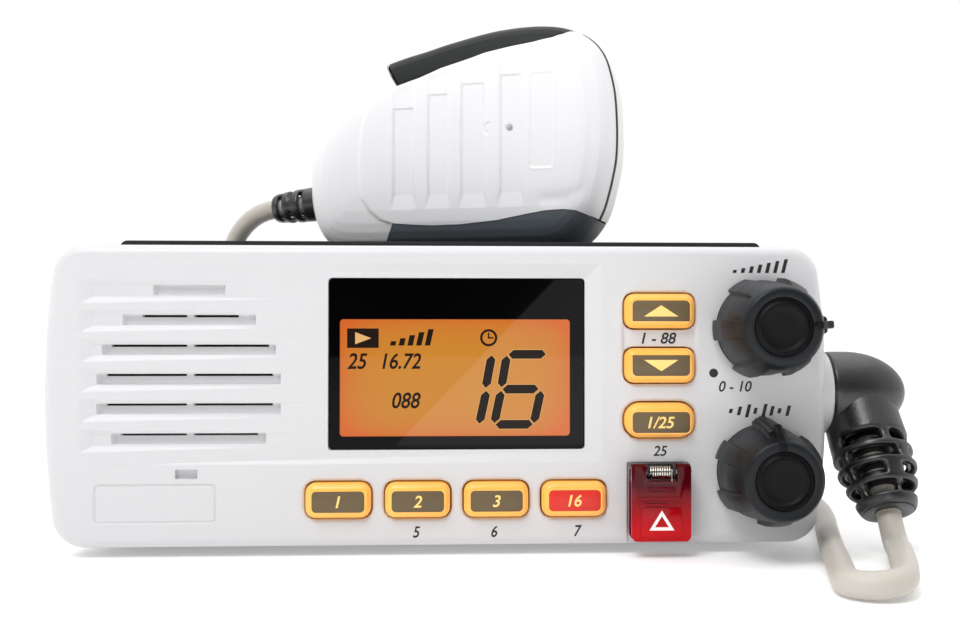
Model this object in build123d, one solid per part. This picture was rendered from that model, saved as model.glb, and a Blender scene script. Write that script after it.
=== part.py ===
from build123d import *
import os
from math import atan2, cos, degrees, hypot, pi, radians, sin, sqrt, tan

# ---------------------------------------------------------------- driving dimensions (mm)
# Frame: origin at the centre of the flat underside, +Z up, +X to the viewer's right,
# the front face looks along -Y.  "d" below is the depth behind the front plane.
YF = -58.0            # y of the front plane
BEZEL_W = 180.0       # bezel width at mid height
BEZEL_H = 69.1        # bezel height
BEZEL_Z0 = 2.3        # bezel underside above the resting plane
BEZEL_D = 20.0        # bezel depth
PANEL_T = 3.2         # front panel thickness
WALL = 2.6            # bezel side wall
SIDE_BULGE = 2.8      # how far the short sides bow out
CH_W = 150.0          # chassis width
CH_TOP = 73.9         # chassis top face
FLANGE_W = 158.0      # chassis front flange
CH_D0, CH_D1 = 21.3, 95.0
COVER_T = 1.5         # bottom cover plate
SINK_D1 = 125.0       # back of the fins
LCD_C = (3.63, 44.1)  # display window centre
LCD_WIN = (58.8, 39.3)
LCD_VIEW = (53.1, 27.0)
LCD_VIEW_C = (3.2, 40.7)
KEY_W, KEY_H, KEY_R = 14.8, 8.0, 2.3
KEY_ROW_Z = 13.05
KEY_ROW_X = (-23.4, -5.35, 12.6, 30.5)
KEY_COL_X = 50.4
KEY_COL_Z = (56.3, 43.7, 31.05)
KEY_COL_W = 16.3
KEY_TRAVEL = 1.0
KEY_GAP = 0.28        # clearance round a key in its well
KNOB_R, KNOB_RF, KNOB_H = 11.7, 8.3, 20.0
VOL_C = (74.7, 52.4)
SQL_C = (74.8, 19.0)
SHAFT_R = 3.0
SHAFT_BORE_R = 3.04   # running clearance 0.04 mm
SPK_C = (-57.4, 43.8)
SPK_R = 24.4
SLOT_Z = (60.96, 54.14, 47.36, 40.67, 33.91, 27.1)
SLOT_L = (16.2, 30.0, 39.2, 41.5, 41.5, 34.8)
SLOT_H = 2.3
COVER_X = (43.2, 57.4)      # siren flap
COVER_Z = (3.2, 17.0)
HINGE_D, HINGE_Z = -3.6, 19.3
PIN_R, KNUCKLE_BORE = 0.80, 0.85
CORD_D = 5.6
CORD_R = CORD_D / 2
COIL_R = 8.2
MIC_O = (4.0, 72.0, 102.15)  # microphone centre (x, d, z)
MIC_YAW = 17.0
MIC_BOTTOM = -28.2


# ---------------------------------------------------------------- helpers
def yplane(d):
    return Plane(origin=(0, YF + d, 0), x_dir=(1, 0, 0), z_dir=(0, -1, 0))


def slab(sk, d0, d1):
    """Prism of an (x, z) sketch from depth d0 to depth d1."""
    return extrude(yplane(d1) * sk, amount=d1 - d0)


def rr(x, z, w, h, r):
    return Pos(x, z) * RectangleRounded(w, h, r)


def cyl_y(x, z, r, d0, d1):
    return slab(Pos(x, z) * Circle(r), d0, d1)


def cyl_x(d, z, r, x0, x1):
    return extrude(Plane(origin=(x0, YF + d, z), x_dir=(0, 1, 0), z_dir=(1, 0, 0)) * Circle(r), amount=x1 - x0)


def cyl_z(x, d, r, z0, z1):
    return extrude(Plane(origin=(x, YF + d, z0), x_dir=(1, 0, 0), z_dir=(0, 0, 1)) * Circle(r), amount=z1 - z0)


def cone_y(x, z, d0, r0, d1, r1):
    """Frustum along the front-to-back axis, radius r0 at depth d0 and r1 at depth d1 (d1 < d0)."""
    return Solid.make_cone(r0, r1, d0 - d1, Plane(origin=(x, YF + d0, z), x_dir=(1, 0, 0), z_dir=(0, -1, 0)))


def box(x0, x1, d0, d1, z0, z1):
    return Pos((x0 + x1) / 2, YF + (d0 + d1) / 2, (z0 + z1) / 2) * Box(x1 - x0, d1 - d0, z1 - z0)


def fused(parts):
    out = parts[0]
    for p in parts[1:]:
        out = out + p
    return out


def group(parts):
    solids = []
    for p in parts:
        solids += list(p.solids())
    return Compound(children=solids)


NODES = {}


def node(name, shape):
    NODES[name] = shape


# ---------------------------------------------------------------- bezel outline
ZC = BEZEL_Z0 + BEZEL_H / 2
half_h = BEZEL_H / 2
xs = BEZEL_W / 2 - SIDE_BULGE


def barrel(inset, corner):
    """Bezel outline with straight top and bottom and bowed short sides, inset by a margin."""
    zt, zb = ZC + half_h - inset, ZC - half_h + inset
    x = xs - inset
    top = Line((-x, zt), (x, zt))
    right = ThreePointArc((x, zt), (x + SIDE_BULGE, ZC), (x, zb))
    bottom = Line((x, zb), (-x, zb))
    left = ThreePointArc((-x, zb), (-x - SIDE_BULGE, ZC), (-x, zt))
    f = make_face(Curve() + [top, right, bottom, left])
    return fillet(f.vertices(), corner)


outer = slab(barrel(0, 7.5), 0, BEZEL_D)
front_edges = outer.faces().sort_by(Axis.Y)[0].edges()
outer = fillet(front_edges, 2.4)
cavity = slab(barrel(WALL, 5.2), PANEL_T, BEZEL_D + 1)
bezel = outer - cavity

# sunken display and grille field: a wedge that deepens from nothing at the left to 1.6 mm at the right
REC_X0, REC_X1, REC_Z0, REC_Z1, REC_D = -80.5, 36.8, 21.0, 67.2, 1.6
rec = extrude(yplane(0) * (Pos((REC_X0 - 4 + REC_X1) / 2, (REC_Z0 + REC_Z1) / 2) * Rectangle(REC_X1 - REC_X0 + 4, REC_Z1 - REC_Z0)),
              amount=-REC_D, taper=60)
wedge_face = make_face(Polyline((REC_X0, YF - 0.2), (REC_X1 + 2, YF - 0.2), (REC_X1 + 2, YF + REC_D), (REC_X0, YF + 0.001), close=True))
wedge = extrude(Plane((0, 0, 0)) * wedge_face, amount=80)
bezel = bezel - (rec & wedge)

# grille rows: tapering scoops with a slot in the middle of each
for z, ln in zip(SLOT_Z, SLOT_L):
    zc = z - 0.1
    scoop = extrude(yplane(0) * (Pos(-55.3, zc) * Rectangle(52.0, 5.9)), amount=-0.95, taper=52)
    bezel = bezel - scoop
    bezel = bezel - slab(rr(SPK_C[0], z, ln, SLOT_H, 0.25), -0.2, 2.3)
for z, ln in list(zip(SLOT_Z, SLOT_L))[1:]:
    h = 0.9
    for s in (-1, 1):
        x0 = SPK_C[0] + s * 1.1
        x1 = SPK_C[0] + s * (ln / 2 - (4.5 if ln < 31 else 2.4))
        bezel = bezel - box(min(x0, x1), max(x0, x1), 1.5, 3.6, z + SLOT_H / 2 - h, z + SLOT_H / 2)

# small rectangular pocket and the raised nameplate field (left bare)
bezel = bezel - slab(rr(-57.7, 19.06, 4.9, 2.05, 0.3), -0.2, 1.6)
plate = rr(-64.6, 12.45, 27.4, 8.6, 1.2)
bezel = bezel - (slab(plate, -0.1, 0.35) - slab(rr(-64.6, 12.45, 26.8, 8.0, 0.9), -0.2, 0.4))

# display opening, key wells, knob and siren openings
bezel = bezel - slab(rr(LCD_C[0], LCD_C[1], LCD_WIN[0] + 0.2, LCD_WIN[1] + 0.2, 1.0), -0.5, PANEL_T + 0.1)
key_specs = [("key_row_%d" % (i + 1), x, KEY_ROW_Z, KEY_W) for i, x in enumerate(KEY_ROW_X)]
key_specs += [(n, KEY_COL_X, z, KEY_COL_W) for n, z in zip(("channel_up_key", "channel_down_key", "power_level_key"), KEY_COL_Z)]
for name, x, z, w in key_specs:
    bezel = bezel - slab(rr(x, z, w + 2 * KEY_GAP, KEY_H + 2 * KEY_GAP, KEY_R + KEY_GAP), -0.2, PANEL_T + 0.1)
    halo = extrude(yplane(0) * rr(x, z, w + 2.2, KEY_H + 2.2, KEY_R + 1.0), amount=-0.45, taper=45)
    bezel = bezel - halo
for x, z in (VOL_C, SQL_C):
    bezel = bezel - cyl_y(x, z, 4.0, -0.2, PANEL_T + 0.1)
BTN = (45.9, 54.7, 5.9, 14.3)   # siren button x0, x1, z0, z1
bx, bz, bw, bh = (BTN[0] + BTN[1]) / 2, (BTN[2] + BTN[3]) / 2, BTN[1] - BTN[0], BTN[3] - BTN[2]
bezel = bezel - slab(rr(bx, bz, bw + 0.56, bh + 0.56, 1.5), -0.2, PANEL_T + 0.1)

# cable boss on the right side and the passage through the side wall
BOSS_D, BOSS_Z, BOSS_R, BOSS_X = 10.0, 36.9, 9.87, 91.9
bezel = bezel + (cyl_x(BOSS_D, BOSS_Z, BOSS_R, 87.6, BOSS_X))
bezel = bezel - cyl_x(BOSS_D, BOSS_Z, 3.2, 84.0, BOSS_X + 0.5)

# screw posts in the corners, closed at the front
POSTS = [(-77.0, 66.1), (77.0, 66.1), (-77.0, 7.4), (77.0, 7.4)]
for x, z in POSTS:
    post = cyl_y(x, z, 3.1, PANEL_T - 0.2, BEZEL_D) - cyl_y(x, z, 1.2, 8.0, BEZEL_D + 0.5)
    bezel = bezel + post
for x, z in POSTS:
    bezel = bezel - cyl_y(x, z, 1.2, 12.0, BEZEL_D + 0.5)
node("front_bezel", bezel)

# ---------------------------------------------------------------- gasket, chassis, cover
gasket = slab(barrel(0.9, 6.5), BEZEL_D, CH_D0) - slab(rr(0, 36.6, 142.0, 63.0, 3.0), BEZEL_D - 0.1, CH_D0 + 0.1)
for x, z in POSTS:
    gasket = gasket - cyl_y(x, z, 1.9, BEZEL_D - 0.1, CH_D0 + 0.1)
node("bezel_gasket", gasket)

chassis = slab(rr(0, CH_TOP / 2, FLANGE_W, CH_TOP, 1.8), CH_D0, 26.0)
body_sk = Pos(0, (CH_TOP + COVER_T) / 2) * Rectangle(CH_W, CH_TOP - COVER_T)
body = slab(body_sk, 25.9, CH_D1)
body = fillet(body.edges().filter_by(Axis.Y).group_by(Axis.Z)[-1], 3.5)
chassis = chassis + body
inner = box(-72.5, 72.5, CH_D0 - 0.1, 92.5, COVER_T - 3, 71.3)
chassis = chassis - inner
chassis = chassis + box(-72.5, 72.5, CH_D0, 26.0, 0, 3.0)
for x in (-68.0, 68.0):
    for d in (32.0, 88.0):
        chassis = chassis + (cyl_z(x, d, 3.5, COVER_T, 17.0) + box(min(x, x * 1.09), max(x, x * 1.09), d - 2.5, d + 2.5, COVER_T, 17.0))
        chassis = chassis - cyl_z(x, d, 1.5, 0.0, 12.0)
# threaded bosses for the mounting bracket, one each side
BR_D, BR_Z, BR_R = 60.0, 37.0, 2.1
chassis = chassis + cyl_x(BR_D, BR_Z, 6.0, 66.5, 73.0) + cyl_x(BR_D, BR_Z, 6.0, -73.0, -66.5)
chassis = chassis + (cyl_x(BR_D, BR_Z, 9.0, 74.9, 75.8) + cyl_x(BR_D, BR_Z, 9.0, -75.8, -74.9))
chassis = chassis - cyl_x(BR_D, BR_Z, BR_R, 67.8, 76.5) - cyl_x(BR_D, BR_Z, BR_R, -76.5, -67.8)
for x, z in POSTS:
    chassis = chassis - cyl_y(x, z, 1.25, CH_D0 - 0.1, 26.1)
chassis = chassis - cyl_y(44.0, 33.0, 4.25, 92.0, CH_D1 + 0.1)   # the speaker jack's body passes here
# shallow cooling ribs along the sides
for i in range(5):
    z = 52.0 + i * 3.6
    for s in (-1, 1):
        chassis = chassis + box(min(s * 74.8, s * 75.8), max(s * 74.8, s * 75.8), 31.0, 90.0, z, z + 1.5)
for i in range(4):
    z = 10.5 + i * 3.6
    for s in (-1, 1):
        chassis = chassis + box(min(s * 74.8, s * 75.8), max(s * 74.8, s * 75.8), 31.0, 90.0, z, z + 1.5)
node("chassis_housing", chassis)

cover = box(-75.0, 75.0, 26.0, CH_D1, 0, COVER_T)
for x in (-68.0, 68.0):
    for d in (32.0, 88.0):
        cover = cover - cyl_z(x, d, 1.5, -0.1, COVER_T + 0.1) - cyl_z(x, d, 2.9, -0.1, 0.9)
for i in range(8):
    cover = cover - box(-25.7 + i * 7.0, -23.3 + i * 7.0, 48.0, 76.0, -0.1, COVER_T + 0.1)
node("bottom_cover", cover)
node("cover_screws", group([cyl_z(x, d, 2.8, 0.1, 0.9) + cyl_z(x, d, 1.45, 0.9, 9.5) for x in (-68.0, 68.0) for d in (32.0, 88.0)]))
node("bezel_screws", group([cyl_y(x, z, 1.15, 13.0, 26.0) + cyl_y(x, z, 1.9, 26.0, 27.5) for x, z in POSTS]))

# ---------------------------------------------------------------- heat sink and rear sockets
sink = box(-54.0, 66.0, CH_D1, 99.0, 5.0, 69.0)
fins = [box(-48.0 + i * 6.0, -46.0 + i * 6.0, 98.9, SINK_D1, 6.0, 68.0) for i in range(13)]
fins += [box(63.6, 65.6, 98.9, SINK_D1, 6.0, 68.0)]
sink = fused([sink] + fins)
SINK_SCREWS = [(-51.0, 10.0), (-51.0, 64.0), (59.5, 10.0), (59.5, 64.0)]
for x, z in SINK_SCREWS:
    sink = sink - cyl_y(x, z, 1.6, 94.9, 99.1)
ANT = (44.0, 53.0)
PWR = (44.0, 16.0)
JACK = (44.0, 33.0)
sink = sink - cyl_y(ANT[0], ANT[1], 5.0, 94.9, 99.1) - cyl_y(JACK[0], JACK[1], 4.25, 94.9, 99.1)
node("heat_sink", sink)
node("heat_sink_screws", group([cyl_y(x, z, 1.5, 95.0, 99.0) + cyl_y(x, z, 2.8, 99.0, 100.8) for x, z in SINK_SCREWS]))

ant = slab(rr(ANT[0], ANT[1], 25.4, 25.4, 1.5), 99.0, 101.4) + cyl_y(ANT[0], ANT[1], 7.9, 101.3, 114.0)
ant = ant - cyl_y(ANT[0], ANT[1], 6.8, 102.5, 114.1)
for sx in (-1, 1):
    for sz in (-1, 1):
        ant = ant - cyl_y(ANT[0] + sx * 9.1, ANT[1] + sz * 9.1, 1.6, 98.9, 101.5)
node("antenna_socket", ant)
ins = cyl_y(ANT[0], ANT[1], 6.8, 102.5, 111.0) - cyl_y(ANT[0], ANT[1], 2.0, 103.5, 111.1)
node("antenna_insert", ins)
pwr = slab(rr(PWR[0], PWR[1], 24.0, 13.0, 1.5), 99.0, 109.0) - slab(rr(PWR[0], PWR[1], 19.0, 8.4, 1.0), 101.0, 109.2)
pwr = pwr + cyl_y(PWR[0] - 8.0, PWR[1], 0.9, 101.0, 107.5) + cyl_y(PWR[0] + 8.0, PWR[1], 0.9, 101.0, 107.5)
node("power_inlet", pwr)
jack = slab(rr(JACK[0], JACK[1], 13.0, 11.0, 1.2), 99.0, 101.0) + cyl_y(JACK[0], JACK[1], 4.2, 88.5, 104.0)
jack = jack - cyl_y(JACK[0], JACK[1], 1.8, 90.0, 104.1)
node("speaker_jack", jack)

# ---------------------------------------------------------------- inside: boards, speaker, display stack
PCB_D0, PCB_D1 = 9.2, 10.8
fpcb = box(-31.0, 84.0, PCB_D0, PCB_D1, 7.0, 66.5)
for x, z in (VOL_C, SQL_C):
    fpcb = fpcb - cyl_y(x, z, 3.7, PCB_D0 - 0.1, PCB_D1 + 0.1)
for x, z in POSTS:
    if x > 0:
        fpcb = fpcb - cyl_y(x, z, 3.5, PCB_D0 - 0.1, PCB_D1 + 0.1)
node("front_circuit_board", fpcb)
mpcb = box(-70.0, 70.0, 27.5, 91.0, 17.0, 18.6)
node("main_circuit_board", mpcb)
node("board_connector", box(-12.0, 12.0, PCB_D1, 27.5, 15.0, 20.5))
can = box(-40.0, 30.0, 38.0, 78.0, 18.6, 30.0) - box(-39.4, 29.4, 38.6, 77.4, 18.5, 29.4)
node("screening_can", can)
node("power_module", box(-16.0, 34.0, 82.0, 92.5, 18.6, 31.0))

mem = cyl_y(SPK_C[0], SPK_C[1], SPK_R, PANEL_T, 3.6)
node("speaker_membrane", mem)
frame = cyl_y(SPK_C[0], SPK_C[1], SPK_R, 3.6, 6.0) - cyl_y(SPK_C[0], SPK_C[1], 21.8, 3.5, 6.1)
basket = cone_y(SPK_C[0], SPK_C[1], 16.0, 12.5, 5.9, 23.9) - cone_y(SPK_C[0], SPK_C[1], 14.8, 11.5, 5.8, 22.6)
frame = frame + basket
node("speaker_frame", frame)
conep = cone_y(SPK_C[0], SPK_C[1], 13.4, 6.0, 6.2, 20.0) - cone_y(SPK_C[0], SPK_C[1], 12.9, 5.2, 6.1, 19.4)
surround = cyl_y(SPK_C[0], SPK_C[1], 21.8, 5.4, 6.2) - cyl_y(SPK_C[0], SPK_C[1], 19.2, 5.3, 6.3)
node("speaker_cone", conep + surround)
node("speaker_magnet", cyl_y(SPK_C[0], SPK_C[1], 12.0, 16.0, 24.0))

window = slab(rr(LCD_C[0], LCD_C[1], LCD_WIN[0], LCD_WIN[1], 0.9), 1.62, 2.82)
node("display_window", window)
lframe = slab(rr(LCD_C[0], LCD_C[1], LCD_WIN[0], LCD_WIN[1], 0.9), 2.82, 3.3) + slab(rr(LCD_C[0], LCD_C[1], 66.0, 46.0, 1.5), 3.2, PCB_D0)
lframe = lframe - slab(rr(LCD_VIEW_C[0], LCD_VIEW_C[1], LCD_VIEW[0], LCD_VIEW[1], 0.7), 2.7, 3.7)
lframe = lframe - slab(rr(LCD_VIEW_C[0], LCD_VIEW_C[1], 58.0, 32.0, 0.5), 3.6, PCB_D0 + 0.1)
node("display_frame", lframe)
node("lcd_glass", slab(rr(LCD_VIEW_C[0], LCD_VIEW_C[1], 57.8, 31.8, 0.4), 3.6, 5.8))
node("backlight_guide", slab(rr(LCD_VIEW_C[0], LCD_VIEW_C[1], 57.8, 31.8, 0.4), 5.8, PCB_D0))

# keys: a cap through the panel with a retaining flange behind it; silicone mat with a dome behind each key
mat = box(-33.0 + 2.2, 59.8, 8.0, PCB_D0, 8.0, 19.6) + box(41.4, 59.8, 8.0, PCB_D0, 8.0, 61.0)
for name, x, z, w in key_specs:
    cap = slab(rr(x, z, w, KEY_H, KEY_R), -1.9, 3.6)
    cap = fillet(cap.faces().sort_by(Axis.Y)[0].edges(), 0.6)
    cap = cap + slab(rr(x, z, w + 1.4, KEY_H + 1.4, KEY_R), 3.45, 4.3)
    node(name, cap)
    mat = mat + cone_y(x, z, 8.1, 3.0, 5.8, 2.2)
mat = mat + cone_y(bx, bz, 8.1, 3.0, 5.8, 2.2)
for x, z in (SQL_C,):
    mat = mat - cyl_y(x, z, 5.0, 7.0, PCB_D0 + 0.1)
node("keypad_mat", mat)
btn = slab(rr(bx, bz, bw, bh, 1.2), -2.4, 3.6)
btn = fillet(btn.faces().sort_by(Axis.Y)[0].edges(), 0.5)
btn = btn + slab(rr(bx, bz, bw + 1.4, bh + 1.4, 1.2), 3.45, 4.3)
node("siren_button", btn)


# ---------------------------------------------------------------- knobs, shafts, potentiometers
def taper(x, z, grow):
    """Round body that narrows from the base to the front."""
    return (cone_y(x, z, -0.7, KNOB_R + grow, -9.0, 11.1 + grow) + cone_y(x, z, -8.9, 11.1 + grow, -14.5, 10.2 + grow)
            + cone_y(x, z, -14.4, 10.2 + grow, -KNOB_H, KNOB_RF + grow))


def knob(x, z, pointer_deg):
    """Moulded knob: six raised pads round the skirt, sloping shoulder, dished front, pointer along one pad."""
    k = taper(x, z, 0.0)
    for i in range(6):
        a = pointer_deg + 30 + i * 60
        k = k - Pos(x, YF - 9.0, z) * Rot(0, -a, 0) * Pos(11.0, 0, 0) * Box(8.0, 18.0, 7.3)
    k = k + taper(x, z, -0.75)
    k = k - cone_y(x, z, -18.7, 5.2, -KNOB_H - 0.1, 5.9)
    k = k - cyl_y(x, z, SHAFT_R, -11.0, 0.5) - cyl_y(x, z, 4.6, -2.6, 0.5)
    rib = taper(x, z, 0.75) & (Pos(x, YF - 8.1, z) * Rot(0, -pointer_deg, 0) * Pos(11.0, 0, 0) * Box(4.4, 14.8, 3.6))
    nib = Pos(x, YF - 15.1, z) * Rot(0, -pointer_deg, 0) * Pos(10.1, 0, 0) * Box(3.6, 3.4, 1.5)
    return k + rib + nib


for name, (x, z), ang in (("volume", VOL_C, 4.0), ("squelch", SQL_C, 93.0)):
    node(name + "_knob", knob(x, z, ang))
    node(name + "_shaft", cyl_y(x, z, SHAFT_R, -11.0, 12.5))
    pot = box(x - 7.0, x + 7.0, PCB_D1, 18.0, z - 7.0, z + 7.0) + cyl_y(x, z, 3.5, -1.6, PCB_D1 + 0.1)
    pot = pot - cyl_y(x, z, SHAFT_BORE_R, -1.7, 12.6)
    node(name + "_potentiometer", pot)

# ---------------------------------------------------------------- siren flap, pin, spring, bracket
EAR = ((46.95, 47.55), (52.85, 53.45))
brk = box(46.95, 53.45, -0.7, 0.0, 17.6, 20.9)
for x0, x1 in EAR:
    brk = brk + (box(x0, x1, HINGE_D, -0.6, 17.8, 20.8) + cyl_x(HINGE_D, HINGE_Z, 1.5, x0, x1))
    brk = brk - cyl_x(HINGE_D, HINGE_Z, PIN_R, x0 - 0.1, x1 + 0.1)
node("siren_hinge_bracket", brk)
node("siren_hinge_pin", cyl_x(HINGE_D, HINGE_Z, PIN_R, 43.4, 57.2))
flap = box(COVER_X[0], COVER_X[1], -6.0, -4.9, COVER_Z[0], COVER_Z[1])
flap = fillet(flap.edges().filter_by(Axis.Y).group_by(Axis.Z)[0], 1.6)
rim = slab(rr((COVER_X[0] + COVER_X[1]) / 2, 10.0, COVER_X[1] - COVER_X[0], 13.6, 1.6), -5.2, -0.4)
rim = rim - slab(rr((COVER_X[0] + COVER_X[1]) / 2, 10.4, COVER_X[1] - COVER_X[0] - 2.2, 12.2, 1.0), -5.3, -0.3)
rim = rim - box(COVER_X[0] - 1, COVER_X[1] + 1, -5.3, -0.3, 16.2, 18.0)
flap = flap + rim
for x0, x1 in ((COVER_X[0], 46.6), (53.8, COVER_X[1])):
    flap = flap + (cyl_x(HINGE_D, HINGE_Z, 2.2, x0, x1) + box(x0, x1, -6.0, -4.4, 16.0, HINGE_Z + 0.6))
    flap = flap - cyl_x(HINGE_D, HINGE_Z, KNUCKLE_BORE, x0 - 0.1, x1 + 0.1)
flap = flap + box(46.6, 53.8, -6.0, -4.9, 14.0, 17.0)
node("siren_cover", flap)
coils = []
for i in range(8):
    xx = 47.75 + i * 0.68
    coils.append(cyl_x(HINGE_D, HINGE_Z, 1.55, xx, xx + 0.5) - cyl_x(HINGE_D, HINGE_Z, 0.95, xx - 0.1, xx + 0.6))
spring = fused(coils) + (cyl_x(HINGE_D, HINGE_Z, 1.35, 47.75, 53.0 - 0.01) - cyl_x(HINGE_D, HINGE_Z, 0.95, 47.6, 53.2))
spring = spring & box(47.6, 52.82, -6.5, 0.5, 16, 23)
node("siren_spring", spring)

# ---------------------------------------------------------------- elbow boot and strain relief
ELBOW_R = 9.7
KNUCKLE = (101.3, BOSS_D, BOSS_Z)
REL_TOP = (101.3, 8.6, 33.4)     # axis of the strain relief, inside the knuckle
REL_END = (102.42, -5.5, 9.72)   # where the cord comes out


def V(p):
    return Vector(p[0], YF + p[1], p[2])


def cone_pts(p0, r0, p1, r1):
    a, b = V(p0), V(p1)
    return Solid.make_cone(r0, r1, (b - a).length, Plane(origin=a, z_dir=(b - a)))


def ball(p, r):
    return Pos(p[0], YF + p[1], p[2]) * Sphere(r)


boot = cyl_x(BOSS_D, BOSS_Z, ELBOW_R, BOSS_X, KNUCKLE[0]) + ball(KNUCKLE, ELBOW_R)
ax = V(REL_END) - V(REL_TOP)
REL_L = ax.length
u = ax.normalized()


def on_axis(s):
    p = V(REL_TOP) + u * s
    return (p.X, p.Y - YF, p.Z)


relief = [(0.0, 8.9, 9.0, 9.06), (9.0, 9.06, 17.0, 9.04), (17.0, 9.04, 21.2, 8.1), (21.2, 8.1, REL_L, 6.2)]
for s0, r0, s1, r1 in relief:
    boot = boot + cone_pts(on_axis(s0), r0, on_axis(s1), r1)
for i, s in enumerate((10.25, 14.15, 18.15, 22.45)):
    ring = Solid.make_cylinder(11.5, 1.7, Plane(origin=V(on_axis(s)), x_dir=(1, 0, 0), z_dir=u)) - Solid.make_cylinder(3.6, 1.9, Plane(origin=V(on_axis(s - 0.1)), x_dir=(1, 0, 0), z_dir=u))
    bridge = Plane(origin=V(on_axis(s + 0.8)), x_dir=(1, 0, 0), z_dir=u) * (Rot(0, 0, 45 if i % 2 else -45) * Box(3.4, 24.0, 2.6))
    boot = boot - (ring - bridge)
node("elbow_boot", boot)

# ---------------------------------------------------------------- microphone (local l, w, t)
MP = Plane(origin=(MIC_O[0], YF + MIC_O[1], MIC_O[2]), x_dir=(cos(radians(MIC_YAW)), -sin(radians(MIC_YAW)), 0),
           z_dir=(-sin(radians(MIC_YAW)), -cos(radians(MIC_YAW)), 0))


def mslab(sk, t0, t1):
    return extrude(MP.offset(t0) * sk, amount=t1 - t0)


def mic_pt(l, w, t):
    v = MP.from_local_coords(Vector(l, w, t))
    return (v.X, v.Y - YF, v.Z)


mic_pts = [(34.6, MIC_BOTTOM), (41.6, -23.4), (45.6, -11.0), (46.7, 3.0), (45.2, 17.4), (40.9, 30.0), (32.6, 36.4), (20.0, 37.6), (5.0, 35.9),
           (-11.5, 32.0), (-25.6, 28.2), (-36.8, 20.4), (-44.6, 8.4), (-48.1, -4.4), (-47.3, -17.2), (-41.6, -26.2), (-32.0, MIC_BOTTOM)]


def smooth_loop(pts):
    """Closed outline of straight runs joined by tangent arcs."""
    n = len(pts)
    radii = []
    for i in range(n):
        a, p, b = Vector(*pts[i - 1]), Vector(*pts[i]), Vector(*pts[(i + 1) % n])
        turn = (p - a).get_angle(b - p)
        radii.append(0.46 * min((p - a).length, (b - p).length) / tan(radians(turn) / 2))
    return FilletPolyline(*pts, radius=radii, close=True)


def mic_face(inset=0.0):
    f = make_face(smooth_loop(mic_pts))
    return f if inset == 0 else offset(f, amount=-inset)


MF = mic_face()
PTT_LOW = [(-19.6, 20.6), (-13.0, 22.9), (-5.7, 25.5), (1.0, 27.3), (8.0, 28.9), (17.5, 30.3), (25.7, 31.2), (32.0, 32.3), (35.2, 33.4)]
ptt_poly = make_face(Polyline(*PTT_LOW, (36.4, 45.0), (-22.6, 45.0), close=True))
ptt_clear = make_face(Polyline(*[(x, y - 1.9) for x, y in PTT_LOW], (36.2, 31.6), (36.9, 46.0), (-23.1, 46.0), (-20.1, 18.7 - 0.2), close=True))
GRIP_TOP = [(-19.2, -19.4), (-9.0, -20.1), (-0.4, -20.2), (12.3, -19.0), (24.9, -17.3), (31.0, -16.7), (35.9, -17.2), (42.0, -19.6)]
grip_poly = make_face(Polyline(*GRIP_TOP, (50.0, -22.0), (50.0, -40.0), (-21.5, -40.0), close=True))
PTT_T0, PTT_T1 = -8.0, 11.0
GRIP_T0, GRIP_T1 = -9.0, 11.0

front = mslab(MF, 0.6, 15.5)
MAXIS = Axis((0, 0, 0), (MP.z_dir.X, MP.z_dir.Y, MP.z_dir.Z))
front_edge = front.faces().sort_by(MAXIS)[-1].edges()
for rad in (5.0, 4.0, 3.0, 2.0):
    try:
        front = fillet(front_edge, rad)
        print("mic front fillet", rad)
        break
    except Exception as e:
        print("fillet failed", rad)
rear = mslab(MF, -18.5, -0.6)
rear_edge = rear.faces().sort_by(MAXIS)[0].edges()
for rad in (6.0, 5.0, 4.0, 3.0, 2.0):
    try:
        rear = fillet(rear_edge, rad)
        print("mic rear fillet", rad)
        break
    except Exception as e:
        print("fillet failed", rad)
mgasket = mslab(mic_face(0.25), -0.6, 0.6)

ptt_zone = mslab(ptt_clear, PTT_T0 - 0.3, 20.0)
grip_zone = mslab(grip_poly, GRIP_T0, 20.0)
cav = RectangleRounded(72.0, 31.0, 8.0)
front = front - mslab(Pos(1.0, 1.0) * cav, 0.5, 12.6)
rear = rear - mslab(Pos(1.0, 1.0) * cav, -16.0, -0.5)
mgasket = mgasket - mslab(Pos(1.0, 1.0) * cav, -1.0, 1.0)
front = front - ptt_zone - grip_zone - mslab(Pos(18.0, 5.5) * Circle(0.9), 12.0, 16.5)
rear = rear - ptt_zone - grip_zone
mgasket = mgasket - ptt_zone - grip_zone
solid_mic = mslab(mic_face(), PTT_T0, PTT_T1)
ptt = solid_mic & mslab(ptt_poly, PTT_T0, PTT_T1)
grip = mslab(mic_face(), GRIP_T0, GRIP_T1) & grip_zone
grip = grip - mslab(Pos(1.0, 1.0) * cav, -30, 30)

M_SCREWS = [(-30.0, -6.0), (32.0, 14.0), (32.0, -10.0)]
for l, w in M_SCREWS:
    rear = rear - mslab(Pos(l, w) * Circle(2.6), -18.6, -16.5) - mslab(Pos(l, w) * Circle(1.3), -17.0, -0.5)
rear = rear - mslab(Pos(0, 2.0) * Circle(2.0), -18.6, -15.0)
for l, w in M_SCREWS:
    rear = rear + (mslab(Pos(l, w) * Circle(3.2), -16.3, -0.6) - mslab(Pos(l, w) * Circle(1.3), -16.5, -0.5))
node("mic_front_shell", front)
node("mic_rear_shell", rear)
node("mic_gasket", mgasket)
node("ptt_button", ptt)
node("mic_side_grip", grip)
node("mic_screws", group([mslab(Pos(l, w) * Circle(2.5), -17.6, -16.5) + mslab(Pos(l, w) * Circle(1.25), -16.6, -3.0) for l, w in M_SCREWS]))
stud = mslab(Pos(0, 2.0) * Circle(2.0), -18.5, -15.0) + mslab(Pos(0, 2.0) * Circle(4.2), -24.0, -18.5) + mslab(Pos(0, 2.0) * Circle(8.5), -26.6, -24.0)
node("mic_hanger_stud", stud)
mpc = mslab(Pos(-1.0, 1.0) * RectangleRounded(48.0, 24.0, 2.0), -2.4, -0.8)
node("mic_circuit_board", mpc)
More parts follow.
